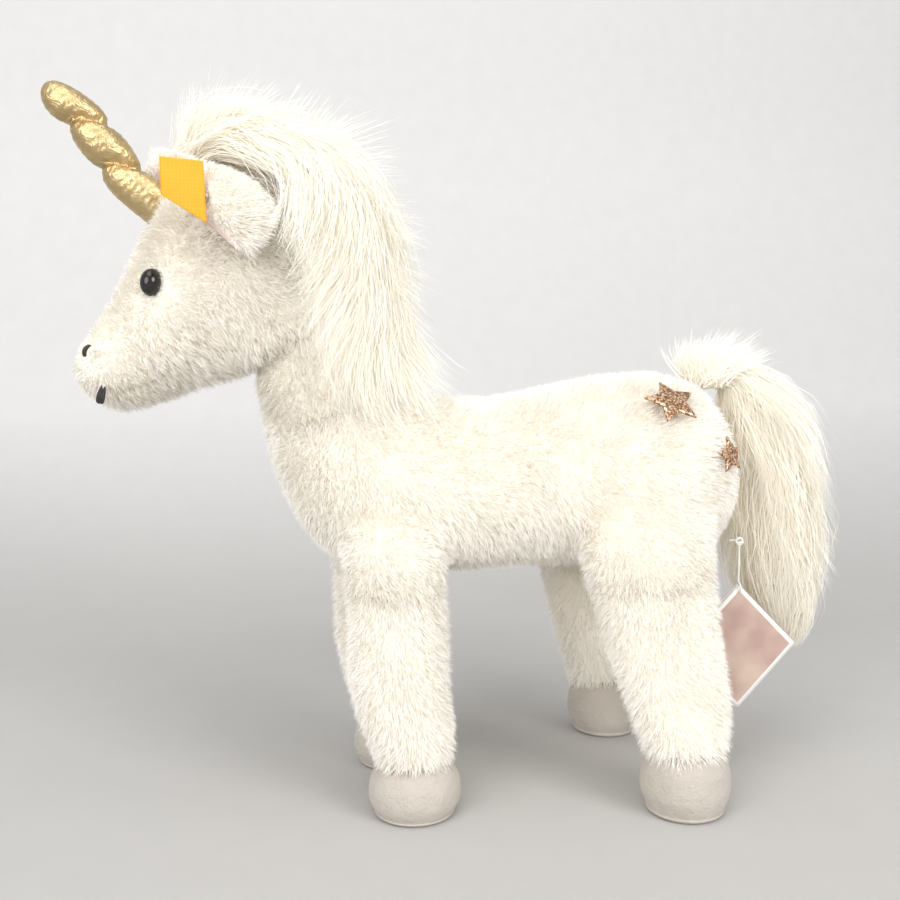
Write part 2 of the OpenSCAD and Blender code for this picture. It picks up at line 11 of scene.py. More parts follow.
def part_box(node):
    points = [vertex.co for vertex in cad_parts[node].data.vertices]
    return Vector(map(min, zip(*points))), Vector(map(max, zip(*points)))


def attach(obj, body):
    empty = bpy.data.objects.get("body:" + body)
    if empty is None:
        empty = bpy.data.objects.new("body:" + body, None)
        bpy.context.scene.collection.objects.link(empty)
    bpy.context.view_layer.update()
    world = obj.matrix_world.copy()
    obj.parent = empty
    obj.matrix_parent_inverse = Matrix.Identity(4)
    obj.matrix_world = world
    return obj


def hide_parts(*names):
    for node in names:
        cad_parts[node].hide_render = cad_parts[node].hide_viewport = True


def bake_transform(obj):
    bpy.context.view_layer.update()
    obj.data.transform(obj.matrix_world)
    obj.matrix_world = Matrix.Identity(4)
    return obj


# Plush unicorn, standing. Metres, +Z up, the toy faces -Y and its left side is +X.
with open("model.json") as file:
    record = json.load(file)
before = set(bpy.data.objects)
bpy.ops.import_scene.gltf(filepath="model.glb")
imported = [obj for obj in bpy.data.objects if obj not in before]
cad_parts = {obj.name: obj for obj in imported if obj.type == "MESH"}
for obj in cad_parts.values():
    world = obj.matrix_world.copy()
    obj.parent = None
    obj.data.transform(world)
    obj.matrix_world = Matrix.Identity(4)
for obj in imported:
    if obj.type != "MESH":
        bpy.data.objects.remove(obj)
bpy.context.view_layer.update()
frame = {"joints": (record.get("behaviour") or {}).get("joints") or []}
joints = {j["name"]: j for j in frame["joints"]}
mm = 0.001
begun = time.time()


def stageDone(words):
    print(f"{time.time() - begun:6.1f} s  {words}")


def joint(name):
    return np.array(joints[name]["pos_m"])


def boxOf(*nodes):  # lowest and highest corner over several nodes
    corners = [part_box(n) for n in nodes]
    return np.min([c[0] for c in corners], 0), np.max([c[1] for c in corners], 0)


# camera, light and stage

view = dict(eye=(0.3894, -0.0886, 0.1682), aim=(0, -0.0105, 0.1353), lens=40, sensor=36)
camera = bpy.data.cameras.new("camera")
camera.lens, camera.sensor_width = view["lens"], view["sensor"]
cameraObject = bpy.data.objects.new("camera", camera)
bpy.context.scene.collection.objects.link(cameraObject)
cameraObject.location = view["eye"]
aimLine = Vector(view["aim"]) - Vector(view["eye"])
cameraObject.rotation_euler = aimLine.to_track_quat("-Z", "Y").to_euler()
bpy.context.scene.camera = cameraObject
bpy.context.scene.view_settings.view_transform = "Standard"
bpy.context.scene.cycles.max_bounces = 24
bpy.context.scene.cycles.diffuse_bounces = 24


lights = dict(
    keyLight=dict(place=(1.1, 0.7, 0.7), aim=(0, 0, 0.13), size=0.7, power=9.5, colour=(1, 0.988, 0.97)),
    fillLight=dict(place=(1.15, -0.95, 0.6), aim=(0, -0.05, 0.14), size=1.1, power=12.6, colour=(1, 0.995, 0.985)),
    topLight=dict(place=(0.45, -0.2, 1.3), aim=(0, 0, 0.1), size=1.0, power=5.9, colour=(1, 0.99, 0.975)))
for name, lamp in lights.items():
    light = bpy.data.lights.new(name, "AREA")
    light.shape, light.size, light.energy, light.color = "DISK", lamp["size"], lamp["power"], lamp["colour"]
    lightObject = bpy.data.objects.new(name, light)
    bpy.context.scene.collection.objects.link(lightObject)
    lightObject.location = lamp["place"]
    lightObject.rotation_euler = (Vector(lamp["aim"]) - Vector(lamp["place"])).to_track_quat("-Z", "Y").to_euler()
world = bpy.data.worlds.new("studio")
bpy.context.scene.world = world
world.use_nodes = True
world.node_tree.nodes["Background"].inputs["Color"].default_value = (0.97, 0.98, 1, 1)
world.node_tree.nodes["Background"].inputs["Strength"].default_value = 0.66


# shader maths

class Wire:  # one socket; adding, multiplying and so on each place one Math node
    def __init__(self, tree, socket):
        self.tree, self.socket = tree, socket

    def make(self, kind, settings, inputs, out=0):  # a node from its type, its settings and its sockets
        node = self.tree.nodes.new("ShaderNode" + kind)
        for name, value in settings.items():
            if name == "stops":
                ramp = node.color_ramp
                ramp.elements[0].position, ramp.elements[-1].position = value[0][0], value[-1][0]
                ramp.elements[0].color, ramp.elements[-1].color = (*value[0][1], 1), (*value[-1][1], 1)
                for place, colour in value[1:-1]:
                    ramp.elements.new(place).color = (*colour, 1)
            else:
                setattr(node, name, value)
        for name, value in inputs.items():
            if isinstance(value, Wire):
                self.tree.links.new(value.socket, node.inputs[name])
            else:
                node.inputs[name].default_value = value
        return Wire(self.tree, node.outputs[out])

    def maths(self, operation, *values):  # one Math node on plain values and wires
        return self.make("Math", {"operation": operation}, dict(enumerate(values)))

    def __add__(self, other): return self.maths("ADD", self, other)
    def __radd__(self, other): return self.maths("ADD", other, self)
    def __sub__(self, other): return self.maths("SUBTRACT", self, other)
    def __rsub__(self, other): return self.maths("SUBTRACT", other, self)
    def __mul__(self, other): return self.maths("MULTIPLY", self, other)
    def __rmul__(self, other): return self.maths("MULTIPLY", other, self)
    def __truediv__(self, other): return self.maths("DIVIDE", self, other)
    def __pow__(self, other): return self.maths("POWER", self, other)

    def clamp(self):  # cut off below 0 and above 1
        return self.make("Clamp", {}, {"Value": self, "Min": 0.0, "Max": 1.0})

    def blend(self, first, second):  # this wire as the share of the second colour
        return self.make("Mix", {"data_type": "RGBA"}, {"Factor": self, 6: first, 7: second}, 2)


def paint(name, sockets):
    # a Principled material with its constant sockets, and the wire that starts its maths
    material = bpy.data.materials.new(name)
    material.use_nodes = True
    shader = material.node_tree.nodes["Principled BSDF"]
    for socket, value in sockets.items():
        shader.inputs[socket].default_value = value
    return material, shader, Wire(material.node_tree, None)


def plug(shader, **wires):  # joins wires to the shader's sockets, BaseColor meaning Base Color
    for name, wire in wires.items():
        socket = "Base Color" if name == "BaseColor" else name
        wire.tree.links.new(wire.socket, shader.inputs[socket])


def placeNoise(start, scale, detail=2.0, **settings):  # soft noise over the object's own coordinates
    place = start.make("TexCoord", {}, {}, "Object")
    return start.make("TexNoise", settings, {"Vector": place, "Scale": scale, "Detail": detail})


def bump(start, height, strength, distance):  # a bent normal from a height between 0 and 1
    return start.make("Bump", {}, {"Height": height, "Strength": strength, "Distance": distance})


def mottled(name, sockets, scale, detail, first, second):
    # a material whose colour runs from the first to the second by a soft noise, which is handed on
    material, shader, start = paint(name, sockets)
    noise = placeNoise(start, scale, detail)
    plug(shader, BaseColor=noise.blend((*first, 1), (*second, 1)))
    return material, shader, start, noise


# meshes from arrays

def meshOf(name, points, faces):  # points (n, 3) and faces (m, 3 or 4) straight into a mesh
    mesh = bpy.data.meshes.new(name)
    mesh.vertices.add(len(points))
    mesh.vertices.foreach_set("co", np.ascontiguousarray(points, np.float32).ravel())
    mesh.loops.add(faces.size)
    mesh.loops.foreach_set("vertex_index", np.ascontiguousarray(faces, np.int32).ravel())
    mesh.polygons.add(len(faces))
    mesh.polygons.foreach_set("loop_start", np.arange(len(faces), dtype=np.int32) * faces.shape[1])
    mesh.polygons.foreach_set("use_smooth", np.ones(len(faces), bool))
    mesh.update(calc_edges=True)
    return mesh


def objectOf(name, mesh, *materials):
    piece = bpy.data.objects.new(name, mesh)
    bpy.context.scene.collection.objects.link(piece)
    for material in materials:
        mesh.materials.append(material)
    return piece


def gridFaces(rows, columns, closed):  # quads over a grid of rows, the last column joined to the first if closed
    span = columns if closed else columns - 1
    r, c = np.meshgrid(np.arange(rows - 1), np.arange(span), indexing="ij")
    a, b = r * columns + c, r * columns + (c + 1) % columns
    return np.stack([a, b, b + columns, a + columns], -1).reshape(-1, 4)


def smoothed(mesh):  # every face shaded smooth
    mesh.polygons.foreach_set("use_smooth", np.ones(len(mesh.polygons), bool))
    mesh.update()
    return mesh


def joinMeshes(name, parts):
    joined = bmesh.new()
    for part in parts:
        joined.from_mesh(part)
    mesh = bpy.data.meshes.new(name)
    joined.to_mesh(mesh)
    joined.free()
    return smoothed(mesh)


def tubeMesh(name, rings):  # closed rings (rows, columns, 3), with a pole at each end, faces outwards
    rows, columns = rings.shape[:2]
    points = np.concatenate([rings.reshape(-1, 3), [rings[0].mean(0)], [rings[-1].mean(0)]])
    mesh = bpy.data.meshes.new(name)
    here = np.arange(columns)
    after, last = (here + 1) % columns, (rows - 1) * columns
    low = np.stack([np.full(columns, rows * columns), after, here], -1)
    high = np.stack([np.full(columns, rows * columns + 1), last + here, last + after], -1)
    mesh.from_pydata(points.tolist(), [], gridFaces(rows, columns, True).tolist() + low.tolist() + high.tolist())
    outwards = bmesh.new()
    outwards.from_mesh(mesh)
    bmesh.ops.recalc_face_normals(outwards, faces=outwards.faces)
    outwards.to_mesh(mesh)
    outwards.free()
    return smoothed(mesh)


def around(count):  # evenly spread angles, once round
    return np.arange(count) * 2 * math.pi / count


def readBack(items, attribute):  # one vector for each vertex or normal of a mesh
    values = np.zeros(len(items) * 3, np.float32)
    items.foreach_get(attribute, values)
    return values.reshape(-1, 3).astype(float)


def moveTo(mesh, points):
    mesh.vertices.foreach_set("co", points.astype(np.float32).ravel())
    mesh.update()


def settle(piece):  # applies every modifier, so that the mesh holds the final shape
    graph = bpy.context.evaluated_depsgraph_get()
    final = bpy.data.meshes.new_from_object(piece.evaluated_get(graph))
    piece.modifiers.clear()
    piece.data = final


def through(rows, t):  # a smooth curve through the rows: the Catmull-Rom cubic of the four rows round t
    rows = np.asarray(rows, float)
    last = len(rows) - 1
    i = np.clip(np.floor(t).astype(int), 0, last - 1)
    u = (t - i)[:, None]
    a, b, c, d = rows[np.maximum(i - 1, 0)], rows[i], rows[i + 1], rows[np.minimum(i + 2, last)]
    return 0.5 * (2 * b + (c - a) * u + (2 * a - 5 * b + 4 * c - d) * u**2 + (3 * b - a - 3 * c + d) * u**3)


def along(rows, t, degrees, off=0.0):
    # a row is low y, low z, high y, high z, half width, middle x; the point is the middle of low and high,
    # plus the half height times sine upwards, plus the half width times cosine sideways
    q = through(rows, t)
    low, high = q[:, 0:2], q[:, 2:4]
    reach = np.linalg.norm(high - low, axis=1)
    up = (high - low) / reach[:, None]
    angle = np.radians(degrees)
    flat = (low + high) / 2 + up * ((reach / 2 + off) * np.sin(angle))[:, None]
    return np.stack([q[:, 5] + (q[:, 4] + off) * np.cos(angle), flat[:, 0], flat[:, 1]], -1)


def formRings(rows, off, ringCount, pointCount):  # even rings from the first row to the last, moved out by off
    t = np.linspace(0, len(rows) - 1, ringCount)
    tt, aa = np.meshgrid(t, np.arange(pointCount) * 360 / pointCount, indexing="ij")
    return along(rows, tt.ravel(), aa.ravel(), off).reshape(ringCount, pointCount, 3)


def waves(points, size, seed):  # smooth noise: a sum of five sines in random directions, about -1 to 1
    chance = np.random.default_rng(seed)
    total = np.zeros(len(points))
    for i in range(5):
        direction = chance.normal(size=3)
        direction /= np.linalg.norm(direction)
        total += np.sin(points @ direction * (2 * math.pi / size) * chance.uniform(0.7, 1.5) + chance.uniform(0, 7))
    return total / math.sqrt(5) / 1.2


# where things are

nodPoint = joint("head_nod")
frontHip = joint("front_left_swing")
rearHip = joint("rear_left_swing")
rumpY = boxOf("body_left")[1][1]
bellyZ = frontHip[2] - 12 * mm
neckLean = math.radians(19)
neckAcross = np.array([0, math.cos(neckLean), math.sin(neckLean)])  # from the throat to the nape
neckUp = np.array([0, -math.sin(neckLean), math.cos(neckLean)])
neckStart = nodPoint - neckUp * 22 * mm  # the neck starts to bend here
legCut = 84 * mm  # the legs start to bend here
legNames = ["front_left", "front_right", "rear_left", "rear_right"]


def neckHeight(points):  # how far a point is past the neck's first bending plane
    return (points - neckStart) @ neckUp


# the stuffed skin

skinSizes = dict(pile=4.6 * mm, voxel=3.6 * mm, smooth=7, pressure=4.0, cap=1.6 * mm, seam=1.3 * mm)

trunk = dict(length=rumpY - (frontHip[1] - 37 * mm), height=72 * mm, width=84 * mm, shares=[
    [0.003, 0.39, 0.011, 0.64, 0.19],
    [0.014, 0.18, 0.034, 0.86, 0.64],
    [0.056, 0.04, 0.084, 1.05, 0.88],
    [0.163, -0.02, 0.185, 1.10, 1.00],
    [0.32, 0, 0.33, 1.06, 0.99],
    [0.478, 0, 0.483, 0.98, 0.93],
    [0.624, -0.01, 0.60, 0.945, 0.905],
    [0.781, -0.01, 0.663, 0.96, 0.905],
    [0.916, 0.08, 0.697, 1.00, 0.87]])
neckSteps = [[0.47, 0.25, 0.35], [0.8, 0.6, 0.7], [1, 1, 1]]  # front up, back up, towards the head
neckSize = dict(depth=59 * mm, width=56 * mm, top=15 * mm)

head = dict(length=91 * mm, height=76 * mm, width=59 * mm, shares=[
    [-0.333, -0.099, 0.227, 0.401, 0.93],
    [-0.366, -0.099, 0.085, 0.743, 0.965],
    [-0.41, -0.118, -0.146, 0.928, 1],
    [-0.465, -0.151, -0.41, 0.967, 1],
    [-0.542, -0.191, -0.575, 0.849, 0.965],
    [-0.63, -0.224, -0.685, 0.625, 0.90],
    [-0.718, -0.257, -0.773, 0.428, 0.80],
    [-0.805, -0.276, -0.871, 0.257, 0.695],
    [-0.882, -0.263, -0.943, 0.145, 0.625],
    [-0.948, -0.191, -0.987, 0.026, 0.475],
    [-0.987, -0.118, -1, -0.039, 0.17]])

# a leg row is height, depth of the half section, its middle y, half width, middle x, all in mm; y and x from the hip
frontRows = [[128, 12, 1, 6, -8], [115, 19, 0, 13, -3], [100, 21.5, 0, 17, 0], [82, 21, 0.5, 17.3, 0],
             [64, 20.8, 1.5, 17.3, 0], [45, 20.6, 3, 17, 0], [28, 18.8, 6.5, 16.8, 0], [17, 15.5, 7.5, 15.5, 0],
             [9, 12.5, 7.5, 12.5, 0]]
rearRows = [[140, 15, 2, 8, -9], [126, 25, 0, 14, -4], [108, 29, -1.5, 18, 0], [88, 28.5, -0.5, 18, 3],
            [66, 25.5, 3, 17.6, 6.5], [50, 23.8, 6, 17.2, 9], [36, 21, 8.5, 17, 11.5], [25, 18.4, 9.5, 16.6, 13],
            [17, 14.5, 10, 14.5, 13.5], [9, 12, 10, 12, 13.5]]


def trunkRows():
    rows = [[rumpY - s[0] * trunk["length"], bellyZ + s[1] * trunk["height"], rumpY - s[2] * trunk["length"],
             bellyZ + s[3] * trunk["height"], s[4] * trunk["width"] / 2, 0] for s in trunk["shares"]]
    chest = np.array(rows[-1])
    foot = nodPoint - neckUp * 7.3 * mm
    low, high = foot - neckAcross * neckSize["depth"] / 2, foot + neckAcross * neckSize["depth"] / 2
    for front, frontUp, share in neckSteps:
        rows.append([chest[0] + (low[1] - chest[0]) * front, chest[1] + (low[2] - chest[1]) * frontUp,
                     chest[2] + (high[1] - chest[2]) * share, chest[3] + (high[2] - chest[3]) * share,
                     chest[4] + (neckSize["width"] / 2 - chest[4]) * share, 0])
    middle = nodPoint + neckUp * neckSize["top"]
    low, high = middle - neckAcross * 22 * mm, middle + neckAcross * 25 * mm
    return np.array(rows + [[low[1], low[2], high[1], high[2], 23 * mm, 0]])


def headRows():
    low, high = nodPoint - neckAcross * 22 * mm, nodPoint + neckAcross * 27 * mm
    rows = [[low[1], low[2], high[1], high[2], 25 * mm, 0]]
    rows += [[nodPoint[1] + s[0] * head["length"], nodPoint[2] + s[1] * head["height"],
              nodPoint[1] + s[2] * head["length"], nodPoint[2] + s[3] * head["height"],
              s[4] * head["width"] / 2, 0] for s in head["shares"]]
    return np.array(rows)


def legRows(table, hip, side):
    return np.array([[hip[1] + (r[2] + r[1]) * mm, r[0] * mm, hip[1] + (r[2] - r[1]) * mm, r[0] * mm,
                      r[3] * mm, side * (abs(hip[0]) + r[4] * mm)] for r in table])


def makeSkin():
    # the trunk with its neck, the head and the legs are tubes through their rows; one voxel remesh joins them
    inset = -skinSizes["pile"]
    forms = [formRings(rows, inset, 60, 64) for rows in (trunkRows(), headRows())]
    for side in (1, -1):
        forms.append(formRings(legRows(frontRows, frontHip, side), inset, 40, 48))
        forms.append(formRings(legRows(rearRows, rearHip, side), inset, 40, 48))
    skin = objectOf("skin", joinMeshes("skin", [tubeMesh("form", rings) for rings in forms]))
    remesh = skin.modifiers.new("remesh", "REMESH")
    remesh.mode, remesh.voxel_size = "VOXEL", skinSizes["voxel"]
    smooth = skin.modifiers.new("smooth", "SMOOTH")
    smooth.factor, smooth.iterations = 0.5, skinSizes["smooth"]
    settle(skin)
    return skin


def fillOut(piece, pressure, cap):
    # the filling's pressure swells the cloth for 20 frames; a point moves by cap times tanh(move / cap)
    rest = readBack(piece.data.vertices, "co")
    cloth = piece.modifiers.new("filling", "CLOTH")
    cloth.settings.use_pressure = True
    cloth.settings.uniform_pressure_force = pressure
    cloth.settings.effector_weights.gravity = 0
    for number in range(1, 21):
        bpy.context.scene.frame_set(number)
    swollen = piece.evaluated_get(bpy.context.evaluated_depsgraph_get()).to_mesh()
    move = readBack(swollen.vertices, "co") - rest
    far = np.linalg.norm(move, axis=1, keepdims=True) + 1e-9
    piece.modifiers.clear()
    bpy.context.scene.frame_set(1)
    moveTo(piece.data, rest + move / far * cap * np.tanh(far / cap))


skin = makeSkin()
stageDone(f"skin joined, {len(skin.data.polygons)} faces")
fillOut(skin, skinSizes["pressure"], skinSizes["cap"])
stageDone("skin filled out")
divide = skin.modifiers.new("smoother", "SUBSURF")
divide.levels = divide.render_levels = 1
settle(skin)


def seamDepth(points):
    # the belly and chest strip is sewn in along two lines at equal x; each seam is a narrow bell-shaped dip
    line = np.exp(-(((np.abs(points[:, 0]) - 15 * mm) / (1.6 * mm)) ** 2))
    underneath = np.clip((bellyZ + 14 * mm - points[:, 2]) / (8 * mm), 0, 1) * (points[:, 2] > legCut)
    front = np.clip((frontHip[1] - 12 * mm - points[:, 1]) / (10 * mm), 0, 1) * (neckHeight(points) < 8 * mm)
    return line * np.maximum(underneath, front * (points[:, 2] > legCut))


# the ends are y and z from the nod point
jawFold = dict(start=(-29 * mm, -9 * mm), end=(-5 * mm, 10 * mm), depth=4.5 * mm, width=3.0 * mm)


def jawDepth(points):
    # the crease where the jaw rests on the neck: a bell across a short line in the side view, fading to its end
    start, end = np.array(jawFold["start"]) + nodPoint[1:], np.array(jawFold["end"]) + nodPoint[1:]
    way, flat = end - start, points[:, 1:]
    share = np.clip((flat - start) @ way / (way @ way), -0.5, 1)
    gap = np.linalg.norm(flat - start - share[:, None] * way, axis=1)
    return np.exp(-((gap / jawFold["width"]) ** 2)) * np.clip(1.05 - share, 0, 1) ** 0.8


seamed = readBack(skin.data.vertices, "co")
dips = seamDepth(seamed) * skinSizes["seam"] + jawDepth(seamed) * jawFold["depth"]
moveTo(skin.data, seamed - readBack(skin.data.vertex_normals, "vector") * dips[:, None])
skinTree = BVHTree.FromObject(skin, bpy.context.evaluated_depsgraph_get())
stageDone(f"skin seams, {len(skin.data.polygons)} faces")


def sampleSkin(mesh, perArea, seed):
    # points spread evenly by area: a triangle by its share of the area, then a place in it by the square root
    # of one random share and a second share across
    mesh.calc_loop_triangles()
    tri = np.zeros(len(mesh.loop_triangles) * 3, np.int32)
    mesh.loop_triangles.foreach_get("vertices", tri)
    tri = tri.reshape(-1, 3)
    co, normals = readBack(mesh.vertices, "co"), readBack(mesh.vertex_normals, "vector")
    a, b, c = co[tri[:, 0]], co[tri[:, 1]], co[tri[:, 2]]
    area = np.linalg.norm(np.cross(b - a, c - a), axis=1) / 2
    chance = np.random.default_rng(seed)
    count = int(area.sum() * perArea)
    pick = np.searchsorted(np.cumsum(area) / area.sum(), chance.random(count))
    pick = np.minimum(pick, len(tri) - 1)
    r, s = np.sqrt(chance.random(count))[:, None], chance.random(count)[:, None]
    weights = [1 - r, r * (1 - s), r * s]
    points = sum(w * co[tri[pick, k]] for k, w in enumerate(weights))
    normal = sum(w * normals[tri[pick, k]] for k, w in enumerate(weights))
    return points, normal / np.linalg.norm(normal, axis=1, keepdims=True)


# fibres

def unit(v):
    return v / (np.linalg.norm(v, axis=-1, keepdims=True) + 1e-12)


def tuftPull(points, size, seed):
    # the nearest of one jittered point in each cell of a cubic grid, as in cell noise
    chance = np.random.default_rng(seed)
    table = chance.random((4096, 3))
    cell = np.floor(points / size).astype(np.int64)
    best, found = np.full(len(points), 9.0), np.zeros_like(points)
    for dx in (-1, 0, 1):
        for dy in (-1, 0, 1):
            for dz in (-1, 0, 1):
                near = cell + (dx, dy, dz)
                key = (near[:, 0] * 73856093 ^ near[:, 1] * 19349663 ^ near[:, 2] * 83492791) & 4095
                centre = (near + table[key]) * size
                gap = np.linalg.norm(centre - points, axis=1)
                closer = gap < best
                best[closer], found[closer] = gap[closer], centre[closer]
    return found - points


def fibreMesh(name, paths, width, roll, facing, toneAndShade):
    # paths (n, k, 3): a ribbon of pairs along each path that ends in one point; tone and the share along
    # the fibre go to the UV map
    count, steps = paths.shape[:2]
    run = unit(np.gradient(paths, axis=1))
    side = unit(np.cross(run, facing))
    side = side * np.cos(roll)[:, None, None] + np.cross(run, side) * np.sin(roll)[:, None, None]
    taper = np.linspace(1, 0.45, steps)[None, :, None]
    offset = side * (width[:, None, None] / 2) * taper
    pairs = np.stack([paths[:, :-1] - offset[:, :-1], paths[:, :-1] + offset[:, :-1]], 2)
    points = np.concatenate([pairs.reshape(count, -1, 3), paths[:, -1:]], 1)
    each = 2 * steps - 1
    foot = 2 * np.arange(steps - 2)[:, None]
    shape = np.stack([foot + (0, 1, 3), foot + (0, 3, 2)], 1).reshape(-1, 3)
    shape = np.concatenate([shape, [[2 * steps - 4, 2 * steps - 3, 2 * steps - 2]]])
    faces = (np.arange(count)[:, None, None] * each + shape[None]).reshape(-1, 3)
    mesh = meshOf(name, points.reshape(-1, 3), faces)
    share = np.concatenate([np.repeat(np.linspace(0, 1, steps)[:-1], 2), [1.0]])
    u = np.clip(toneAndShade, 0.02, 0.97)[:, None] + np.tile([0, 0.01], steps)[None, :each]
    uv = np.stack([u, np.broadcast_to(share * 0.96 + 0.02, (count, each))], -1).reshape(-1, 2)
    layer = mesh.uv_layers.new(name="OFBake")
    layer.data.foreach_set("uv", uv[faces.ravel()].astype(np.float32).ravel())
    return mesh


pile = dict(perArea=3.5e6, length=5.2 * mm, width=0.31 * mm, tuft=4.0 * mm, pull=0.4, lean=0.75, stray=0.26)


def combOf(points, normals):
    # the way the pile lies: back and down on the trunk, down on the legs, back from the nose on the head
    past = np.clip(neckHeight(points) / (30 * mm), 0, 1)[:, None]
    low = np.clip((110 * mm - points[:, 2:3]) / (30 * mm), 0, 1)
    trunkWay = np.array([0, 0.75, -0.65]) * (1 - low) + np.array([0, 0.12, -1]) * low
    headWay = np.array([0, 0.9, -0.42])
    way = trunkWay * (1 - past) + headWay * past
    way = way + 0.45 * np.stack([waves(points, 34 * mm, s) for s in (1, 2, 3)], -1)
    flat = way - normals * np.sum(way * normals, 1, keepdims=True)
    return flat / np.maximum(np.linalg.norm(flat, axis=1, keepdims=True), 0.6)


def growPile(name, points, normals, settings, length, toneAndShade, seed):
    # root, middle and tip: the first half leaves near the skin's normal, the second half follows the comb
    # and leans to the middle of its tuft
    chance = np.random.default_rng(seed)
    n = len(points)
    comb = combOf(points, normals)
    pull = tuftPull(points, settings["tuft"], 7)
    pull -= normals * np.sum(pull * normals, 1, keepdims=True)
    pull *= np.minimum(1, 2.4 * mm / (np.linalg.norm(pull, axis=1, keepdims=True) + 1e-9)) * settings["pull"]
    stray = chance.normal(size=(n, 3)) * settings["stray"]
    size = (length * chance.uniform(0.72, 1.12, n))[:, None]
    first = unit(normals + 0.3 * settings["lean"] * comb + 0.5 * stray)
    second = unit(normals * 0.75 + settings["lean"] * comb + stray)
    root = points - normals * 0.6 * mm
    middle = points + first * size * 0.5 + pull * 0.35
    tip = middle + second * size * 0.5 + pull * 0.65
    paths = np.stack([root, middle, tip], 1)
    width = settings["width"] * chance.uniform(0.75, 1.3, n)
    return fibreMesh(name, paths, width, chance.uniform(-1.1, 1.1, n), normals[:, None], toneAndShade)


def furMaterial(name, root, tip, dullAndShade, rough):
    # colour from the share along the fibre: root colour to tip colour by its 0.6 power, a painted shade that darkens
    # the fibre towards its root deep in the pile; and duller by its tone, which carries random tone and painted shade
    material, shader, start = paint(name, {"Roughness": rough, "Specular IOR Level": 0.25})
    uv = start.make("UVMap", {"uv_map": "OFBake"}, {})
    toneAndShade, share = [start.make("SeparateXYZ", {}, {"Vector": uv}, axis) for axis in (0, 1)]
    # painted shade: the root end of each fibre is darker than its tip
    rootShadeToTip = (share ** 0.6).clamp().blend((*root, 1), (*tip, 1))
    plug(shader, BaseColor=toneAndShade.clamp().blend((*dullAndShade, 1), rootShadeToTip))
    return material


# skin pieces and their pile

# backing: cream by a soft mottle; pile: warm white with painted shade towards the roots, greyer where its tone is low,
# by random tone and by painted shade on the cheeks, in the jaw's crease and under the belly
plushSkin = mottled("plush backing", {"Roughness": 0.95, "Specular IOR Level": 0.1}, 260.0, 3.0,
                    (0.90, 0.87, 0.79), (0.95, 0.93, 0.87))[0]
plushPile = furMaterial("plush pile", (0.955, 0.935, 0.895), (0.985, 0.972, 0.94), (0.73, 0.685, 0.605), 0.85)


def cutPiece(source, name, planes):
    # keeps what lies on the positive side of each plane (point, normal) and closes each cut
    work = bmesh.new()
    work.from_mesh(source.data)
    for point, normal in planes:
        cut = bmesh.ops.bisect_plane(work, geom=work.verts[:] + work.edges[:] + work.faces[:], dist=1e-6,
                                     plane_co=Vector(point), plane_no=Vector(normal), clear_inner=True)
        rim = [e for e in cut["geom_cut"] if isinstance(e, bmesh.types.BMEdge)]
        bmesh.ops.holes_fill(work, edges=rim, sides=0)
    loose = [v for v in work.verts if not v.link_faces]
    bmesh.ops.delete(work, geom=loose, context="VERTS")
    mesh = bpy.data.meshes.new(name)
    work.to_mesh(mesh)
    work.free()
    return objectOf(name, smoothed(mesh), plushSkin)


legPlane = (0, 0, legCut)
headSkin = cutPiece(skin, "headSkin", [(neckStart, neckUp)])
trunkSkin = cutPiece(skin, "trunkSkin", [(neckStart, -neckUp), (legPlane, (0, 0, 1))])
middleY = (frontHip[1] + rearHip[1]) / 2
legSkins = {}
for name in legNames:
    yWay = -1 if "front" in name else 1
    xWay = 1 if "left" in name else -1
    legSkins[name] = cutPiece(skin, name + "_skin", [(legPlane, (0, 0, -1)), ((0, middleY, 0), (0, yWay, 0)),
                                                     ((0, 0, 0), (xWay, 0, 0))])
bpy.data.objects.remove(skin)
stageDone("skin pieces")


def onHead(piece):
    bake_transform(piece)


def onLeg(piece, name):
    hip = joint(name + "_swing")
    name + "_leg"
    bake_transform(piece)


onHead(headSkin)
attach(trunkSkin, "torso")
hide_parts("head_left", "head_right", "head_gusset", "head_stuffing", "eye_washer_left",
            "eye_washer_right")
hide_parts("body_left", "body_right", "body_gusset", "body_stuffing")
for name, piece in legSkins.items():
    onLeg(piece, name)
    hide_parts(name + "_leg_cover", name + "_leg_stuffing")

eyeSpots, nostrilSpots, mouthSpots = [[np.mean(boxOf(f"{part}_{side}"), 0) for side in ("left", "right")]
                                      for part in ("eye", "nostril", "mouth")]
eyeBare = [spot + np.array([0, -1.8 * mm, 0]) for spot in eyeSpots]
hornFoot = joint("horn_bend")
largeSpot, smallSpot = np.mean(boxOf("large_star"), 0), np.mean(boxOf("small_star"), 0)


def nearSpots(points, spots, radius, soft=1 * mm):  # 1 within the radius of any spot, falling to 0 past it
    near = np.min([np.linalg.norm(points - s, axis=1) for s in spots], 0)
    return np.clip((radius + soft - near) / soft, 0, 1)


def bell(points, y, z, acrossY, acrossZ):  # 1 at a spot of the side view, given from the nod point, fading round it
    offY, offZ = points[:, 1] - nodPoint[1] - y, points[:, 2] - nodPoint[2] - z
    return np.exp(-((offY / acrossY) ** 2) - ((offZ / acrossZ) ** 2))


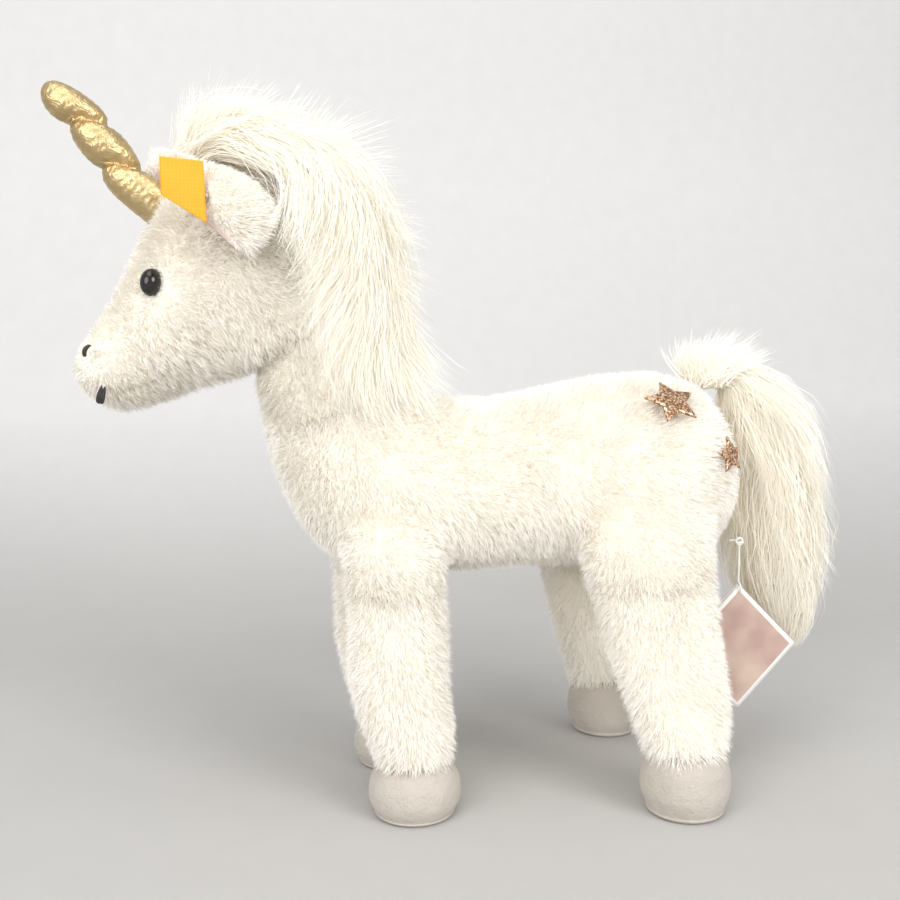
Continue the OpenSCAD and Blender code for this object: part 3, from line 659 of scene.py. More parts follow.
def pileLength(points):
    # the pile's length: short on the muzzle, round the eyes and under the stars, long on the cheeks, the chin
    # and the nape, a little shorter in the seams, normal elsewhere
    onFace = neckHeight(points) > 12 * mm
    muzzle = np.clip((nodPoint[1] - 58 * mm - points[:, 1]) / (24 * mm), 0, 1) * onFace
    cheek = bell(points, -38 * mm, -2 * mm, 22 * mm, 14 * mm) * onFace
    nape = bell(points, -22 * mm, 46 * mm, 15 * mm, 15 * mm) * onFace
    chin = bell(points, -73 * mm, -18 * mm, 9 * mm, 7 * mm) * (neckHeight(points) > -5 * mm)
    size = pile["length"] * (1 - 0.5 * muzzle + 0.25 * cheek + 1.3 * nape) * (1 + 0.9 * chin)
    for less, spots, radius, soft in ((0.45, eyeSpots, 5, 5), (0.6, nostrilSpots, 2, 4), (0.5, mouthSpots, 3, 4),
                                      (0.55, [hornFoot], 7, 5), (0.6, [largeSpot], 8, 2.5), (0.6, [smallSpot], 5, 2.5)):
        size *= 1 - less * nearSpots(points, spots, radius * mm, soft * mm)
    size *= (1 - 0.35 * seamDepth(points)) * (1 - 0.45 * jawDepth(points))
    return size * (1 + 0.12 * waves(points, 22 * mm, 11))


def pileToneAndShade(points, chance):
    # 1 is the clean bright pile, lower is duller: painted shade on the cheeks below the eye, in the jaw's crease and
    # under the belly, random patches, and a random part for each fibre
    y, z = points[:, 1] - nodPoint[1], points[:, 2] - nodPoint[2]
    line = -14 * mm - (y + 60 * mm) * 0.12  # the jaw line runs forward and a little down
    # painted shade on the cheek, below the eye and along the jaw line
    cheek = np.exp(-(((y + 42 * mm) / (32 * mm)) ** 2) - (((z - line) / (9 * mm)) ** 2))
    cheek = cheek * (neckHeight(points) > -4 * mm)
    # painted shade under the belly
    bellyShade = np.clip((bellyZ + 12 * mm - points[:, 2]) / (14 * mm), 0, 1) * (points[:, 2] > legCut)
    # painted shade in the crease where the jaw rests on the neck
    fold = np.clip(jawDepth(points) * 1.3, 0, 1)
    toneAndShade = 0.96 - 0.5 * cheek - 0.35 * fold - 0.15 * bellyShade - 0.1 * np.abs(waves(points, 26 * mm, 5))
    return toneAndShade - 0.1 * chance.random(len(points))


def growOn(piece, name, keep, seed, bind):
    points, normals = sampleSkin(piece.data, pile["perArea"], seed)
    bare = nearSpots(points, eyeBare, 4.0 * mm, 0.8 * mm) + nearSpots(points, nostrilSpots, 0.3 * mm)
    chance = np.random.default_rng(seed + 1)
    stays = keep(points, normals) & (chance.random(len(points)) > bare)
    points, normals = points[stays], normals[stays]
    mesh = growPile(name, points, normals, pile, pileLength(points), pileToneAndShade(points, chance), seed + 2)
    fur = objectOf(name, mesh, plushPile)
    bind(fur)
    print(f"        {name}: {len(points)} fibres")


def sameSide(sign, low=-1.0, high=1.0):
    # the caps of the cut pieces lie in the bending planes and face along them; no pile grows there
    def keep(points, normals):
        onCap = (np.abs(neckHeight(points)) < 0.2 * mm) & (np.abs(normals @ neckUp) > 0.9)
        onCap |= (np.abs(points[:, 2] - legCut) < 0.2 * mm) & (np.abs(normals[:, 2]) > 0.9)
        return ~onCap & (points[:, 0] * sign >= 0) & (points[:, 1] >= low) & (points[:, 1] < high)
    return keep


def onTrunk(piece):
    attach(piece, "torso")


growOn(headSkin, "headPileLeft", sameSide(1), 20, onHead)
growOn(headSkin, "headPileRight", sameSide(-1), 20, onHead)
for side, sign in (("Left", 1), ("Right", -1)):
    growOn(trunkSkin, "chestPile" + side, sameSide(sign, high=middleY), 30, onTrunk)
    growOn(trunkSkin, "rumpPile" + side, sameSide(sign, low=middleY), 30, onTrunk)
for number, name in enumerate(legNames):
    growOn(legSkins[name], name + "_pile", sameSide(1 if "left" in name else -1), 40 + 3 * number,
           lambda fur, name=name: onLeg(fur, name))
stageDone("short pile")

# long hair

sideways = np.array([[1, 0, 0]])


def lineFrom(point, line):  # y and z from a point, in mm, as places on the middle plane
    return np.array([[0, point[1] + y * mm, point[2] + z * mm] for y, z in line])


def frameAlong(line, t):
    # a place on a line at t, the way along it and the way out of it, by differences of the smooth curve
    ahead = unit(through(line, t + 0.05) - through(line, t - 0.05))
    return through(line, t), ahead, np.stack([np.zeros(len(t)), -ahead[:, 2], ahead[:, 1]], -1)


maneSizes = dict(locks=215, each=105, width=0.25 * mm, steps=8, halfWidth=25 * mm, depth=31 * mm,
                 spread=0.11, rest=2.0 * mm)
crest = lineFrom(nodPoint, [(-49, 73), (-37, 76), (-24, 72.5), (-6, 68.5), (7, 56), (14, 43), (19, 29.5),
                            (24, 10.5), (30, -1.5), (43, -14), (55, -19)])  # from the poll to the withers


def crestFrame(share):
    return frameAlong(crest, np.clip(share, 0, 1) * (len(crest) - 1))


def lockPaths(base, fall, turnFrom, turnTo, rise, seed):
    # strands round the neck: the share along the crest grows by fall, the angle round the neck goes from turnFrom
    # to turnTo, and the height over the skin swells by rise and comes down to the rest; each lock waves as one
    each, steps = maneSizes["each"], maneSizes["steps"]
    chance = np.random.default_rng(seed)
    n = len(base)
    own = chance.normal(size=(n, each, 4))
    k = np.linspace(0, 1, steps)[None, None, :]
    length = (fall[:, None] * (1 + 0.13 * own[..., 0]))[..., None]
    s = base[:, None, None] + own[..., 1:2] * 0.012 + length * k ** 1.15
    phase, speed = chance.uniform(0, 6.3, (n, 1, 1)), chance.uniform(0.8, 1.6, (n, 1, 1))
    wave = np.sin(phase + speed * 7.5 * k) * k + 0.5 * np.sin(2.3 * phase + own[..., 3:4] * 0.6 + 12 * k) * k
    gather = (1 - 0.5 * k + 0.2 * k ** 4) * maneSizes["spread"]
    turn = turnFrom[:, None, None] + (turnTo - turnFrom)[:, None, None] * k ** 0.9
    turn = turn + gather * own[..., 2:3] + 0.085 * wave
    lift = rise[:, None, None] * np.sin(np.minimum(k * 1.9, math.pi) * 0.9) * (1 + 0.22 * own[..., 3:4])
    lift = lift + maneSizes["rest"] * k + 1.2 * mm * np.cos(phase + speed * 7 * k) * k
    here, _, out = crestFrame(s.reshape(-1))
    turn, lift = turn.reshape(-1, 1), lift.reshape(-1, 1)
    centre = here - out * maneSizes["depth"]
    place = centre + out * (maneSizes["depth"] + lift) * np.cos(turn)
    place = place + sideways * (maneSizes["halfWidth"] + lift) * np.sin(turn)
    outward = unit(out * np.cos(turn) + sideways * np.sin(turn))
    shape = (n * each, steps, 3)
    return place.reshape(shape), outward.reshape(shape)


def growLocks(name, settings, paths, outward, toneAndShade, seed):  # one piece of long hair from its paths
    chance = np.random.default_rng(seed)
    count = len(paths)
    paths = paths + chance.normal(size=(count, 1, 3)) * 0.35 * mm
    mesh = fibreMesh(name, paths, settings["width"] * chance.uniform(0.7, 1.4, count),
                     chance.uniform(-1.2, 1.2, count), outward, toneAndShade)
    print(f"        {name}: {count} strands, {len(mesh.polygons)} faces")
    return objectOf(name, mesh, hair)


# cream, with a yellower painted shade towards the root, and yellower where its tone is low: random tone, and painted
# shade on the tail's inner and lower strands
hair = furMaterial("long silky pile", (0.972, 0.95, 0.885), (0.988, 0.975, 0.93), (0.82, 0.75, 0.58), 0.6)


def makeMane():
    # locks start along the crest; about two in three fall to the left side, the others to the right
    chance = np.random.default_rng(60)
    n, each = maneSizes["locks"], maneSizes["each"]
    base = chance.uniform(-0.02, 0.6, n)
    near = chance.random(n) < 0.64
    turnFrom = chance.uniform(-0.4, 0.45, n)
    turnTo = np.where(near, chance.uniform(0.3, 1.5, n), chance.uniform(-1.25, 0.2, n))
    fall = np.minimum(chance.uniform(0.18, 0.34, n) + 0.14 * near, chance.uniform(0.72, 0.88, n) - base)
    rise = (12.5 - 13 * base) * mm * chance.uniform(0.55, 1.4, n)
    paths, outward = lockPaths(base, fall, turnFrom, turnTo, rise, 61)
    toneAndShade = np.repeat(chance.uniform(0.82, 0.98, n), each) - 0.12 * chance.random(n * each)
    half = len(paths) // 2
    for part, cut in (("maneLocksA", slice(0, half)), ("maneLocksB", slice(half, None))):
        lock = growLocks(part, maneSizes, paths[cut], outward[cut], toneAndShade[cut], 62)
        onHead(lock)
    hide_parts("mane_head", "mane_neck")


forelockSizes = dict(strands=14000, tufts=230, steps=7)


def makeForelock():
    # wisps that stand up from the poll: straight strands that lean back and spread
    chance = np.random.default_rng(70)
    n, steps, tufts = forelockSizes["strands"], forelockSizes["steps"], forelockSizes["tufts"]
    tuft = chance.integers(0, tufts, n)
    s = (chance.uniform(-0.03, 0.62, tufts)[tuft] + chance.normal(size=n) * 0.02).clip(-0.04, 0.68)
    here, ahead, out = crestFrame(s)
    turn = (chance.normal(size=tufts) * 0.5)[tuft] + chance.normal(size=n) * 0.16
    back = chance.uniform(-0.1, 1.3, tufts)[tuft] + chance.normal(size=n) * 0.18
    root = here + ahead * (np.minimum(s, 0) * 110 * mm)[:, None] - out * 4 * mm
    root = root + sideways * (turn * 11 * mm)[:, None]
    way = unit(out + ahead * back[:, None] + sideways * turn[:, None] * 0.8)
    length = chance.uniform(0.7, 1.3, tufts)[tuft] * chance.uniform(15, 28, n) * mm
    length = length * (1 - 0.45 * np.abs(s - 0.12))
    k = np.linspace(0, 1, steps)[None, :, None]
    curl = chance.normal(size=(tufts, 1, 3))[tuft] * 0.22
    bend = (ahead[:, None] * 0.45 - out[:, None] * 0.12 + curl) * k ** 2 + 0.03 * np.sin(9 * k + tuft[:, None, None])
    paths = root[:, None] + (way[:, None] * k + bend) * length[:, None, None]
    lock = growLocks("forelock", maneSizes, paths, out[:, None] + 0 * paths, chance.uniform(0.86, 0.99, n), 71)
    onHead(lock)


tailSizes = dict(locks=310, each=70, width=0.27 * mm, steps=7)
tailRoot = joint("tail_lift")
tailLine = lineFrom(tailRoot, [(-2, -1), (10, 2.5), (19, -4.5), (26.5, -17), (32.5, -36), (34, -58), (37, -80),
                               (40, -101), (41, -118)])
tailHalf = np.array([(4, 5), (8, 8), (13, 12), (17.5, 15), (19.5, 17), (22, 17), (21, 15), (15, 10),
                     (6, 4)]) * mm  # half thickness in the middle plane and across it, at each of those places
wispSizes = dict(strands=2600, tufts=26, steps=6)


def makeTail():
    # strands keep their own place in an oval carried along the tail's line, drawn in and waving towards the tip
    chance = np.random.default_rng(80)
    locks, each, steps = tailSizes["locks"], tailSizes["each"], tailSizes["steps"]
    radius, angle = np.sqrt(chance.random(locks)) * 0.95, chance.uniform(0, 2 * math.pi, locks)
    own = chance.normal(size=(locks, each, 3))
    start = (chance.uniform(-0.25, 0.62, locks).clip(0, 1)[:, None] + 0.025 * own[..., 1]).clip(0, 1)[..., None]
    end = start[..., 0] + chance.uniform(0.3, 0.52, locks)[:, None] * (1 + 0.12 * own[..., 0])
    end = end.clip(0.3, 1)[..., None]
    k = np.linspace(0, 1, steps)[None, None, :]
    t = ((len(tailLine) - 1) * (start + (end - start) * k)).reshape(-1)
    here, _, out = frameAlong(tailLine, t)
    size = through(tailHalf, t)
    phase, speed = chance.uniform(0, 6.3, (locks, 1, 1)), chance.uniform(0.8, 1.5, (locks, 1, 1))
    spread, flare = 0.16 - 0.07 * k + 0.09 * k ** 4, 0.45 + 0.6 * k ** 0.8
    u = radius[:, None, None] * np.cos(angle)[:, None, None] * flare + spread * own[..., 1:2]
    v = radius[:, None, None] * np.sin(angle)[:, None, None] * flare + spread * own[..., 2:3]
    u = (u + 0.17 * np.sin(phase + speed * 7 * k) * k).reshape(-1, 1)
    v = (v + 0.17 * np.cos(phase + speed * 6 * k) * k).reshape(-1, 1)
    place = here + out * size[:, :1] * u
    place = place + sideways * (size[:, 1:] * v - 4 * mm * (t / (len(tailLine) - 1))[:, None])
    shape = (locks * each, steps, 3)
    outward = unit(out * u + sideways * v).reshape(shape)
    # painted shade: strands on the tail's inner side and strands that start further along the tail, lower down, get a
    # lower tone; the last part of the tone is random
    inner = np.repeat(np.clip(0.5 - 0.5 * radius * np.cos(angle), 0, 1), each)
    low = np.repeat(start.mean(1)[:, 0], each)
    toneAndShade = 0.97 - 0.25 * inner - 0.14 * low - 0.12 * chance.random(locks * each)
    place = place.reshape(shape)
    for part, cut in (("tailHairA", slice(0, None, 2)), ("tailHairB", slice(1, None, 2))):
        hairs = growLocks(part, tailSizes, place[cut], outward[cut], toneAndShade[cut], 81)
        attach(hairs, "tail")
    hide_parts("tail_hair", "tail_dock")
    # short wisps that stand up at the root
    n, tufts = wispSizes["strands"], wispSizes["tufts"]
    k = np.linspace(0, 1, wispSizes["steps"])[None, :, None]
    root = np.array([0, tailRoot[1], tailRoot[2]]) + chance.normal(size=(n, 3)) * (4.5, 3.5, 1.5) * np.array(mm)
    tuft = chance.integers(0, tufts, n)
    lean = chance.uniform(-0.9, 1.5, tufts)[tuft] + chance.normal(size=n) * 0.12
    way = unit(np.stack([chance.normal(size=n) * 0.3, lean, chance.uniform(0.7, 1, n)], -1))
    length = (chance.uniform(0.55, 1.0, tufts)[tuft] * chance.uniform(15, 27, n) * mm)[:, None, None]
    paths = root[:, None] + way[:, None] * k * length + np.array([0, 0.3, -0.12]) * k ** 2 * length
    wisps = growLocks("tailWisps", tailSizes, paths, sideways[None] + 0 * paths, chance.uniform(0.85, 0.99, n), 82)
    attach(wisps, "tail")


# horn

hornSizes = dict(columns=128, rings=190, grooves=2.9 * mm, creases=0.17 * mm, length=56 * mm, radius=8.2 * mm,
                 lean=math.radians(40.5), sway=0.9 * mm)
# shares of the radius and of the length, from under the skin to the tip
hornShares = [[0.5, -0.16], [0.8, -0.1], [0.95, 0.0], [1.02, 0.12], [1.06, 0.22], [1.08, 0.32], [1.1, 0.42],
              [1.1, 0.5], [1.04, 0.58], [0.96, 0.66], [0.9, 0.74], [0.84, 0.82], [0.7, 0.9], [0.45, 0.965],
              [0.2, 0.992], [0.02, 1]]


def groove(share, turn):
    # a slanted groove at each waist: the distance along the horn to a plane that tips with the angle round it,
    # through a narrow bell; between two waists the fabric bulges
    total = 0
    for place, tip, phase in ((0.3, 0.1, 2.75), (0.64, 0.095, 2.75)):
        gap = share - place - tip * np.cos(turn - phase)
        total = total + 0.7 * np.exp(-((gap / 0.04) ** 2)) + 0.55 * np.exp(-((gap / 0.1) ** 2))
    return total


def makeHorn():
    # rings along the leaning line: the radius follows the shares, less the grooves, plus fine creases
    length, lean = hornSizes["length"], hornSizes["lean"]
    turn = around(hornSizes["columns"])[None]
    line = through(hornShares, np.linspace(0, len(hornShares) - 1, hornSizes["rings"]))
    share = np.clip(line[:, 1], -0.2, 1)[:, None]
    radius = np.clip(line[:, 0], 0.02, 1)[:, None] * hornSizes["radius"]
    taper = np.clip(radius / (3 * mm), 0, 1) * np.clip((1 - share) / 0.06, 0, 1)
    radius = radius - hornSizes["grooves"] * groove(share, turn) * taper
    # creases: fine ripples round the horn that run out from the grooves, stronger near them
    ripple = np.sin(turn * 23 + 5 * np.sin(share * 40) + 9 * share) * np.sin(turn * 11 - 30 * share)
    fold = np.sin(share * length / mm * 2.4 + 2.5 * np.cos(turn) + 1.3 * np.sin(3 * turn + 9 * share))
    radius = radius + (ripple + 0.7 * fold) * hornSizes["creases"] * taper * (0.5 + groove(share, turn))
    radius = np.maximum(radius, 0.15 * mm)
    up = np.array([0, -math.sin(lean), math.cos(lean)])
    fore = np.array([0, math.cos(lean), math.sin(lean)])
    sway = hornSizes["sway"] * np.sin((share - 0.46) * 6.3 * 1.5)
    points = hornFoot + up * (share * length)[..., None] + sideways[0] * (radius * np.sin(turn))[..., None]
    points = points + fore * (radius * np.cos(turn) + sway)[..., None]
    horn = objectOf("goldHorn", tubeMesh("goldHorn", points), goldCloth)
    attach(horn, "horn")
    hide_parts("horn_cover", "horn_stuffing", "horn_thread")


# crumpled gold cloth: a ridged and a fine noise bend the normal; by the ridged one the colour runs from a deep brown
# gold, a painted shade in the creases, to a pale gold, a painted highlight on the ridges
goldCloth, goldShader, goldStart = paint("gold fabric", {"Metallic": 1.0})
goldCrush = placeNoise(goldStart, 330.0, 3.0, noise_type="RIDGED_MULTIFRACTAL")
goldFine = placeNoise(goldStart, 1500.0)
# painted shade and painted highlight: the colour follows the same ridges as the bump
plug(goldShader, BaseColor=(goldCrush * 0.6).clamp().blend((0.60, 0.45, 0.23, 1), (0.95, 0.84, 0.60, 1)),
     Roughness=0.3 + goldFine * 0.16, Normal=bump(goldStart, goldCrush * 0.5 + goldFine * 0.25, 0.75, 0.0008))

# hooves

# velboa: a very short nap; colour by soft noise, bump by a fine noise and soft dents
velboa, velboaShader, velboaStart, _ = mottled("velboa", {"Specular IOR Level": 0.15, "Sheen Weight": 0.15}, 70.0, 3.0,
                                               (0.49, 0.445, 0.395), (0.57, 0.525, 0.465))
velboaNap, velboaDents = placeNoise(velboaStart, 1100.0, 4.0), placeNoise(velboaStart, 160.0)
plug(velboaShader, Roughness=0.85 + velboaNap * 0.1,
     Normal=bump(velboaStart, velboaNap * 0.45 + velboaDents, 0.8, 0.0014))

# shares of the radius and of the height, from the middle of the sole to inside the leg
hoofLine = [[0.05, 0.0], [0.5, 0.0], [0.74, 0.004], [0.82, 0.02], [0.87, 0.06], [0.865, 0.095], [0.93, 0.2],
            [0.985, 0.33], [1.0, 0.48], [0.985, 0.66], [0.94, 0.8], [0.86, 0.93], [0.76, 1.02], [0.55, 1.08],
            [0.02, 1.1]]


def makeHoof(name):
    # the hoof line turned round the middle of the CAD hoof
    low, high = boxOf(name + "_hoof_cover")
    middle, radius = (low + high) / 2, (high[0] - low[0]) / 2
    turn = around(96)
    line = through(hoofLine, np.linspace(0, len(hoofLine) - 1, 90))
    share, up = line[:, 0:1], line[:, 1:2]
    # the fabric is drawn in unevenly: slow bulges round the hoof and small puckers just over the sole's seam
    seamNear = np.exp(-(((up - 0.1) / 0.05) ** 2))
    bulge = 1 + 0.018 * np.sin(turn * 3 + len(name)) * up
    bulge = bulge + 0.006 * np.sin(turn * 26 + 2 * np.sin(turn * 5)) * seamNear
    r = radius * share * bulge
    z = np.maximum(high[2] * up, 0) + 0 * turn
    points = np.stack([middle[0] + r * np.cos(turn), middle[1] + r * np.sin(turn), z], -1)
    hoof = objectOf(name + "_hoof", tubeMesh(name + "_hoof", points), velboa)
    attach(hoof, name + "_leg")
    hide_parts(name + "_hoof_cover", name + "_hoof_sole")


# face

def skinPoint(spot):  # where the skin lies nearest a spot, and its normal there
    hit, normal = skinTree.find_nearest(Vector(spot))[:2]
    return np.array(hit), np.array(normal)


def turned(normal):  # two unit directions across a normal, the second as near upright as it can be
    up = np.array([0, 0, 1.0]) - normal * normal[2]
    up = up / np.linalg.norm(up)
    return np.cross(up, normal), up


# eye: black plastic with a hard gloss; smudges by a soft noise on the roughness
eyePlastic, eyeShader, _, eyeSmudge = mottled(
    "eye plastic", {"Specular IOR Level": 0.35, "Coat Weight": 0.25, "Coat Roughness": 0.05}, 500.0, 2.0,
    (0.008, 0.007, 0.007), (0.02, 0.018, 0.017))
plug(eyeShader, Roughness=0.06 + eyeSmudge * 0.08)

eyeSizes = dict(radius=4.9 * mm, dome=3.9 * mm, narrow=0.74, stand=1.5 * mm)


def makeEye(side):
    # an upright oval dome on a short rim that goes into the skin, turned a little forward
    foot, normal = skinPoint(np.mean(boxOf(f"eye_{side}"), 0))
    normal = unit(normal + np.array([0, -0.35, 0]))
    across, up = turned(normal)
    foot = foot + normal * eyeSizes["stand"]
    rise = np.linspace(0, math.pi / 2 * 0.99, 20)
    rim = np.array([(0.02, -2.2 * mm), (0.8, -2.1 * mm), (1.0, -1.2 * mm)])  # share of the radius, height
    line = np.concatenate([rim, np.stack([np.cos(rise), np.sin(rise) * eyeSizes["dome"]], -1)])
    turn = around(64)
    flat = line[:, 0:1] * eyeSizes["radius"]
    points = foot + across * (flat * eyeSizes["narrow"] * np.cos(turn))[..., None]
    points = points + up * (flat * np.sin(turn))[..., None] + normal * (line[:, 1:2] + 0 * turn)[..., None]
    eye = objectOf(f"eyeDome_{side}", tubeMesh(f"eyeDome_{side}", points), eyePlastic)
    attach(eye, "head")
    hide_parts(f"eye_{side}")


# dark yarn: fibres by a fine noise in colour and bump
yarn, yarnShader, yarnStart, yarnWave = mottled("dark yarn", {"Roughness": 0.85}, 1400.0, 2.0,
                                                (0.022, 0.02, 0.022), (0.06, 0.052, 0.05))
plug(yarnShader, Normal=bump(yarnStart, yarnWave, 0.6, 0.0004))

# each stitch runs from one end to the other, across and up from the middle, in mm
nostril = dict(ends=[((-1.1, -2.2), (0.4, 2.3)), ((-0.4, -2.1), (1.1, 2.2))], lift=0.7 * mm, thick=0.6 * mm,
               move=(0, -2.2 * mm, 0))
mouth = dict(ends=[((1.0, 3.9), (-1.6, -3.9)), ((2.0, 3.2), (-0.6, -3.9))], lift=2.0 * mm, thick=1.0 * mm,
             move=(0, -1.2 * mm, -0.6 * mm))


def makeStitches(name, node, sizes):
    # satin stitches lie side by side, each a round thread that bows up in its middle and thins into the skin
    threads = []
    spot = np.mean(boxOf(node), 0)
    foot, normal = skinPoint(spot)
    foot = foot + (spot - foot) * 0.62 + np.array(sizes["move"])
    across, up = turned(normal)
    s, turn = np.linspace(0, 1, 16)[:, None], around(12)
    arch = np.sin(s * math.pi)
    for ends in sizes["ends"]:
        a, b = [foot + (across * end[0] + up * end[1]) * mm for end in ends]
        path = a + (b - a) * s + normal * (sizes["lift"] * arch ** 0.7 - 0.8 * mm * (1 - arch))
        run = unit(np.gradient(path, axis=0))
        side = unit(np.cross(run, normal))
        over = np.cross(side, run)
        size = sizes["thick"] * (0.12 + 0.88 * np.clip(arch, 0, 1) ** 0.5)
        ring = path[:, None] + side[:, None] * (size * np.cos(turn))[..., None]
        threads.append(tubeMesh(name, ring + over[:, None] * (size * np.sin(turn))[..., None]))
    stitches = objectOf(name, joinMeshes(name, threads), yarn)
    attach(stitches, "head")
    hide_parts(node)


# ears

earMiddle, *earRoot = joint("ear_left_fold")
earSizes = dict(open=34, pile=3.2 * mm, perArea=7.0e6, lip=3.4 * mm)
# rows as for the skin's forms, in mm from the fold, from the root to the tip
earRows = np.array([*earRoot, *earRoot, 0, earMiddle]) + mm * np.array(
    [[-4.8, -8.2, 4.8, 8.8, 4.5, 0], [-11, -1.5, -3.5, 17, 5.2, 0.8], [-20, 7, -15.5, 21.5, 5, 0.2],
     [-29, 15, -27, 24.5, 4.2, -0.4], [-36.5, 20.5, -35.5, 25.5, 2.6, -1.5]])


def earLeaf(name, side, low, high, lastRow, firstRow, spare, material, taper, lip):
    # a leaf of the ear as a thick sheet round part of its form, with rounded edges; the opening widens with the
    # taper towards the tip and the lip rolls its edges outwards
    t, share = np.meshgrid(np.linspace(firstRow, lastRow, 26), np.linspace(0, 1, 30), indexing="ij")
    first, last = earSizes["open"] - 90 - spare, 270 + spare - earSizes["open"]  # degrees
    closing = taper * np.clip((t - 2.6) / 1.4, 0, 1) ** 2 - lip * np.sin(np.clip(t / 3.6, 0, 1) * math.pi)
    angle = first + closing + (last - first - 2 * closing) * share
    edge = np.minimum(share, 1 - share)
    middle = (low + high) / 2 + (lip > 0) * earSizes["lip"] * np.clip(1 - edge / 0.16, 0, 1) ** 1.5
    half = (high - low) / 2 * np.sqrt(np.clip(edge / 0.06, 0, 1))
    sheets = [along(earRows, t.ravel(), angle.ravel(), (middle + way * half).ravel()).reshape(26, 30, 3)
              for way in (1, -1)]
    loop = np.concatenate([sheets[0], sheets[1][:, ::-1]], 1)
    loop[..., 0] *= side
    return objectOf(name, tubeMesh(name, loop), material)


# ear lining: pinkish taupe velvet; colour and bump by soft noise
lining, liningShader, liningStart, liningNoise = mottled(
    "ear lining", {"Roughness": 0.9, "Specular IOR Level": 0.1}, 400.0, 3.0, (0.72, 0.58, 0.53), (0.82, 0.70, 0.65))
plug(liningShader, Normal=bump(liningStart, liningNoise, 0.4, 0.0005))


def makeEar(side, sign, seed):
    # a plush leaf, a lining cup inside it, and pile on the leaf's outer face: short under the label and the
    # button, long at the root
    name = f"ear_{side}"
    outer = earLeaf(name + "_leaf", sign, -1.8 * mm, 0.0, 3.72, 0.0, 0, plushSkin, 8, 0)
    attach(outer, name)
    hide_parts(name + "_outer")
    inner = earLeaf(name + "_cup", sign, -3.1 * mm, -2.1 * mm, 4.0, 0.2, 2, lining, 0, 30)
    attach(inner, name)
    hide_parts(name + "_lining")
    points, normals = sampleSkin(outer.data, earSizes["perArea"], seed)
    centres = np.stack([earRows[:, 5] * sign, (earRows[:, 0] + earRows[:, 2]) / 2,
                        (earRows[:, 1] + earRows[:, 3]) / 2], -1)
    nearest = np.argmin(np.linalg.norm(points[:, None] - centres[None], axis=2), 1)
    outward = np.sum(normals * (points - centres[nearest]), 1) > 0.2 * mm
    low, high = boxOf("ear_label")
    underLabel = np.all((points[:, 1:] > low[1:]) & (points[:, 1:] < high[1:]), 1) & (points[:, 0] > earMiddle)
    atRoot = np.exp(-((np.linalg.norm(points - centres[0], axis=1) / (9 * mm)) ** 2))
    atButton = np.linalg.norm(points - np.mean(boxOf("ear_button"), 0), axis=1) < 3.6 * mm
    length = np.where(underLabel, 0.35, 1.0) * earSizes["pile"] * (1 + 1.6 * atRoot) * (1 - 0.6 * atButton)
    points, normals, length = points[outward], normals[outward], length[outward]
    toneAndShade = 0.97 - 0.1 * np.random.default_rng(seed).random(len(points))
    mesh = growPile(name + "_pile", points, normals, dict(pile, pull=0.25, stray=0.2), length, toneAndShade, seed + 1)
    fur = objectOf(name + "_pile", mesh, plushPile)
    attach(fur, name)
    print(f"        {name}: {len(points)} fibres")


# label and button

# woven ribbon: a weave of two crossed waves in the bump, bright yellow-orange by the weft
ribbon, ribbonShader, ribbonStart = paint("label ribbon", {"Specular IOR Level": 0.35, "Roughness": 0.55})
ribbonPlace = ribbonStart.make("TexCoord", {}, {}, "Object")
weave = [ribbonStart.make("TexWave", {"bands_direction": way},
                          {"Vector": ribbonPlace, "Scale": 260.0, "Distortion": 0.4}) for way in ("Y", "Z")]
ribbonTint = (placeNoise(ribbonStart, 140.0) * 0.6 + weave[0] * 0.3).clamp()
plug(ribbonShader, BaseColor=ribbonTint.blend((0.80, 0.34, 0.015, 1), (0.90, 0.43, 0.03, 1)),
     Normal=bump(ribbonStart, weave[0] * weave[1], 0.35, 0.0002))

# corners as y and z from the ear's fold
labelSizes = dict(bottom=[(-30.8, 10.5), (-16.3, 1.5)], top=[(-31.2, 23), (-17.1, 22)], thick=0.5 * mm)


def makeLabel():
    # a flat ribbon between its four corners that bows a little away from the ear, on the CAD label's outer face
    high = boxOf("ear_label")[1]
    u, v = np.meshgrid(np.linspace(0, 1, 18), np.linspace(0, 1, 26), indexing="ij")
    bottom, top = [np.array(earRoot) + np.array(labelSizes[edge]) * mm for edge in ("bottom", "top")]
    lower = bottom[0] + (bottom[1] - bottom[0]) * u[..., None]
    upper = top[0] + (top[1] - top[0]) * u[..., None]
    flat = lower + (upper - lower) * v[..., None]
    bow = 0.5 * mm * np.sin(u * math.pi) * (1 - 0.5 * v) + 0.35 * mm * np.sin(v * 5) * v
    outer = np.stack([high[0] + bow, flat[..., 0], flat[..., 1]], -1)
    inner = outer - np.array([labelSizes["thick"], 0, 0])
    loop = np.concatenate([outer, inner[:, ::-1]], 1)
    label = objectOf("ribbonLabel", tubeMesh("ribbonLabel", loop), ribbon)
    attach(label, "label")
    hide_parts("ear_label")


# button metal: brushed by a fine noise on the roughness
metal, metalShader, _, metalNoise = mottled("button metal", {"Metallic": 1.0}, 900.0, 2.0,
                                            (0.36, 0.30, 0.23), (0.50, 0.43, 0.34))
plug(metalShader, Roughness=0.28 + metalNoise * 0.2)


def dress(node, material):  # a CAD piece whose shape is right keeps it and takes a material
    bpy.data.objects[node].data.materials.clear()
    bpy.data.objects[node].data.materials.append(material)


# stars

# glitter: small cells, each with its own tilt and tint by two random shares; the tint runs at random from dark brown to
# near white, and the few near-white cells that flash bright are painted glints
glitter, glitterShader, glitterStart = paint("glitter fabric", {"Specular IOR Level": 0.8})
glitterPlace = glitterStart.make("TexCoord", {}, {}, "Object")
glitterCells = glitterStart.make("TexVoronoi", {}, {"Vector": glitterPlace, "Scale": 1500.0}, 1)
glitterShare = glitterStart.make("SeparateColor", {}, {"Color": glitterCells}, 0)
glitterOther = glitterStart.make("SeparateColor", {}, {"Color": glitterCells}, 1)
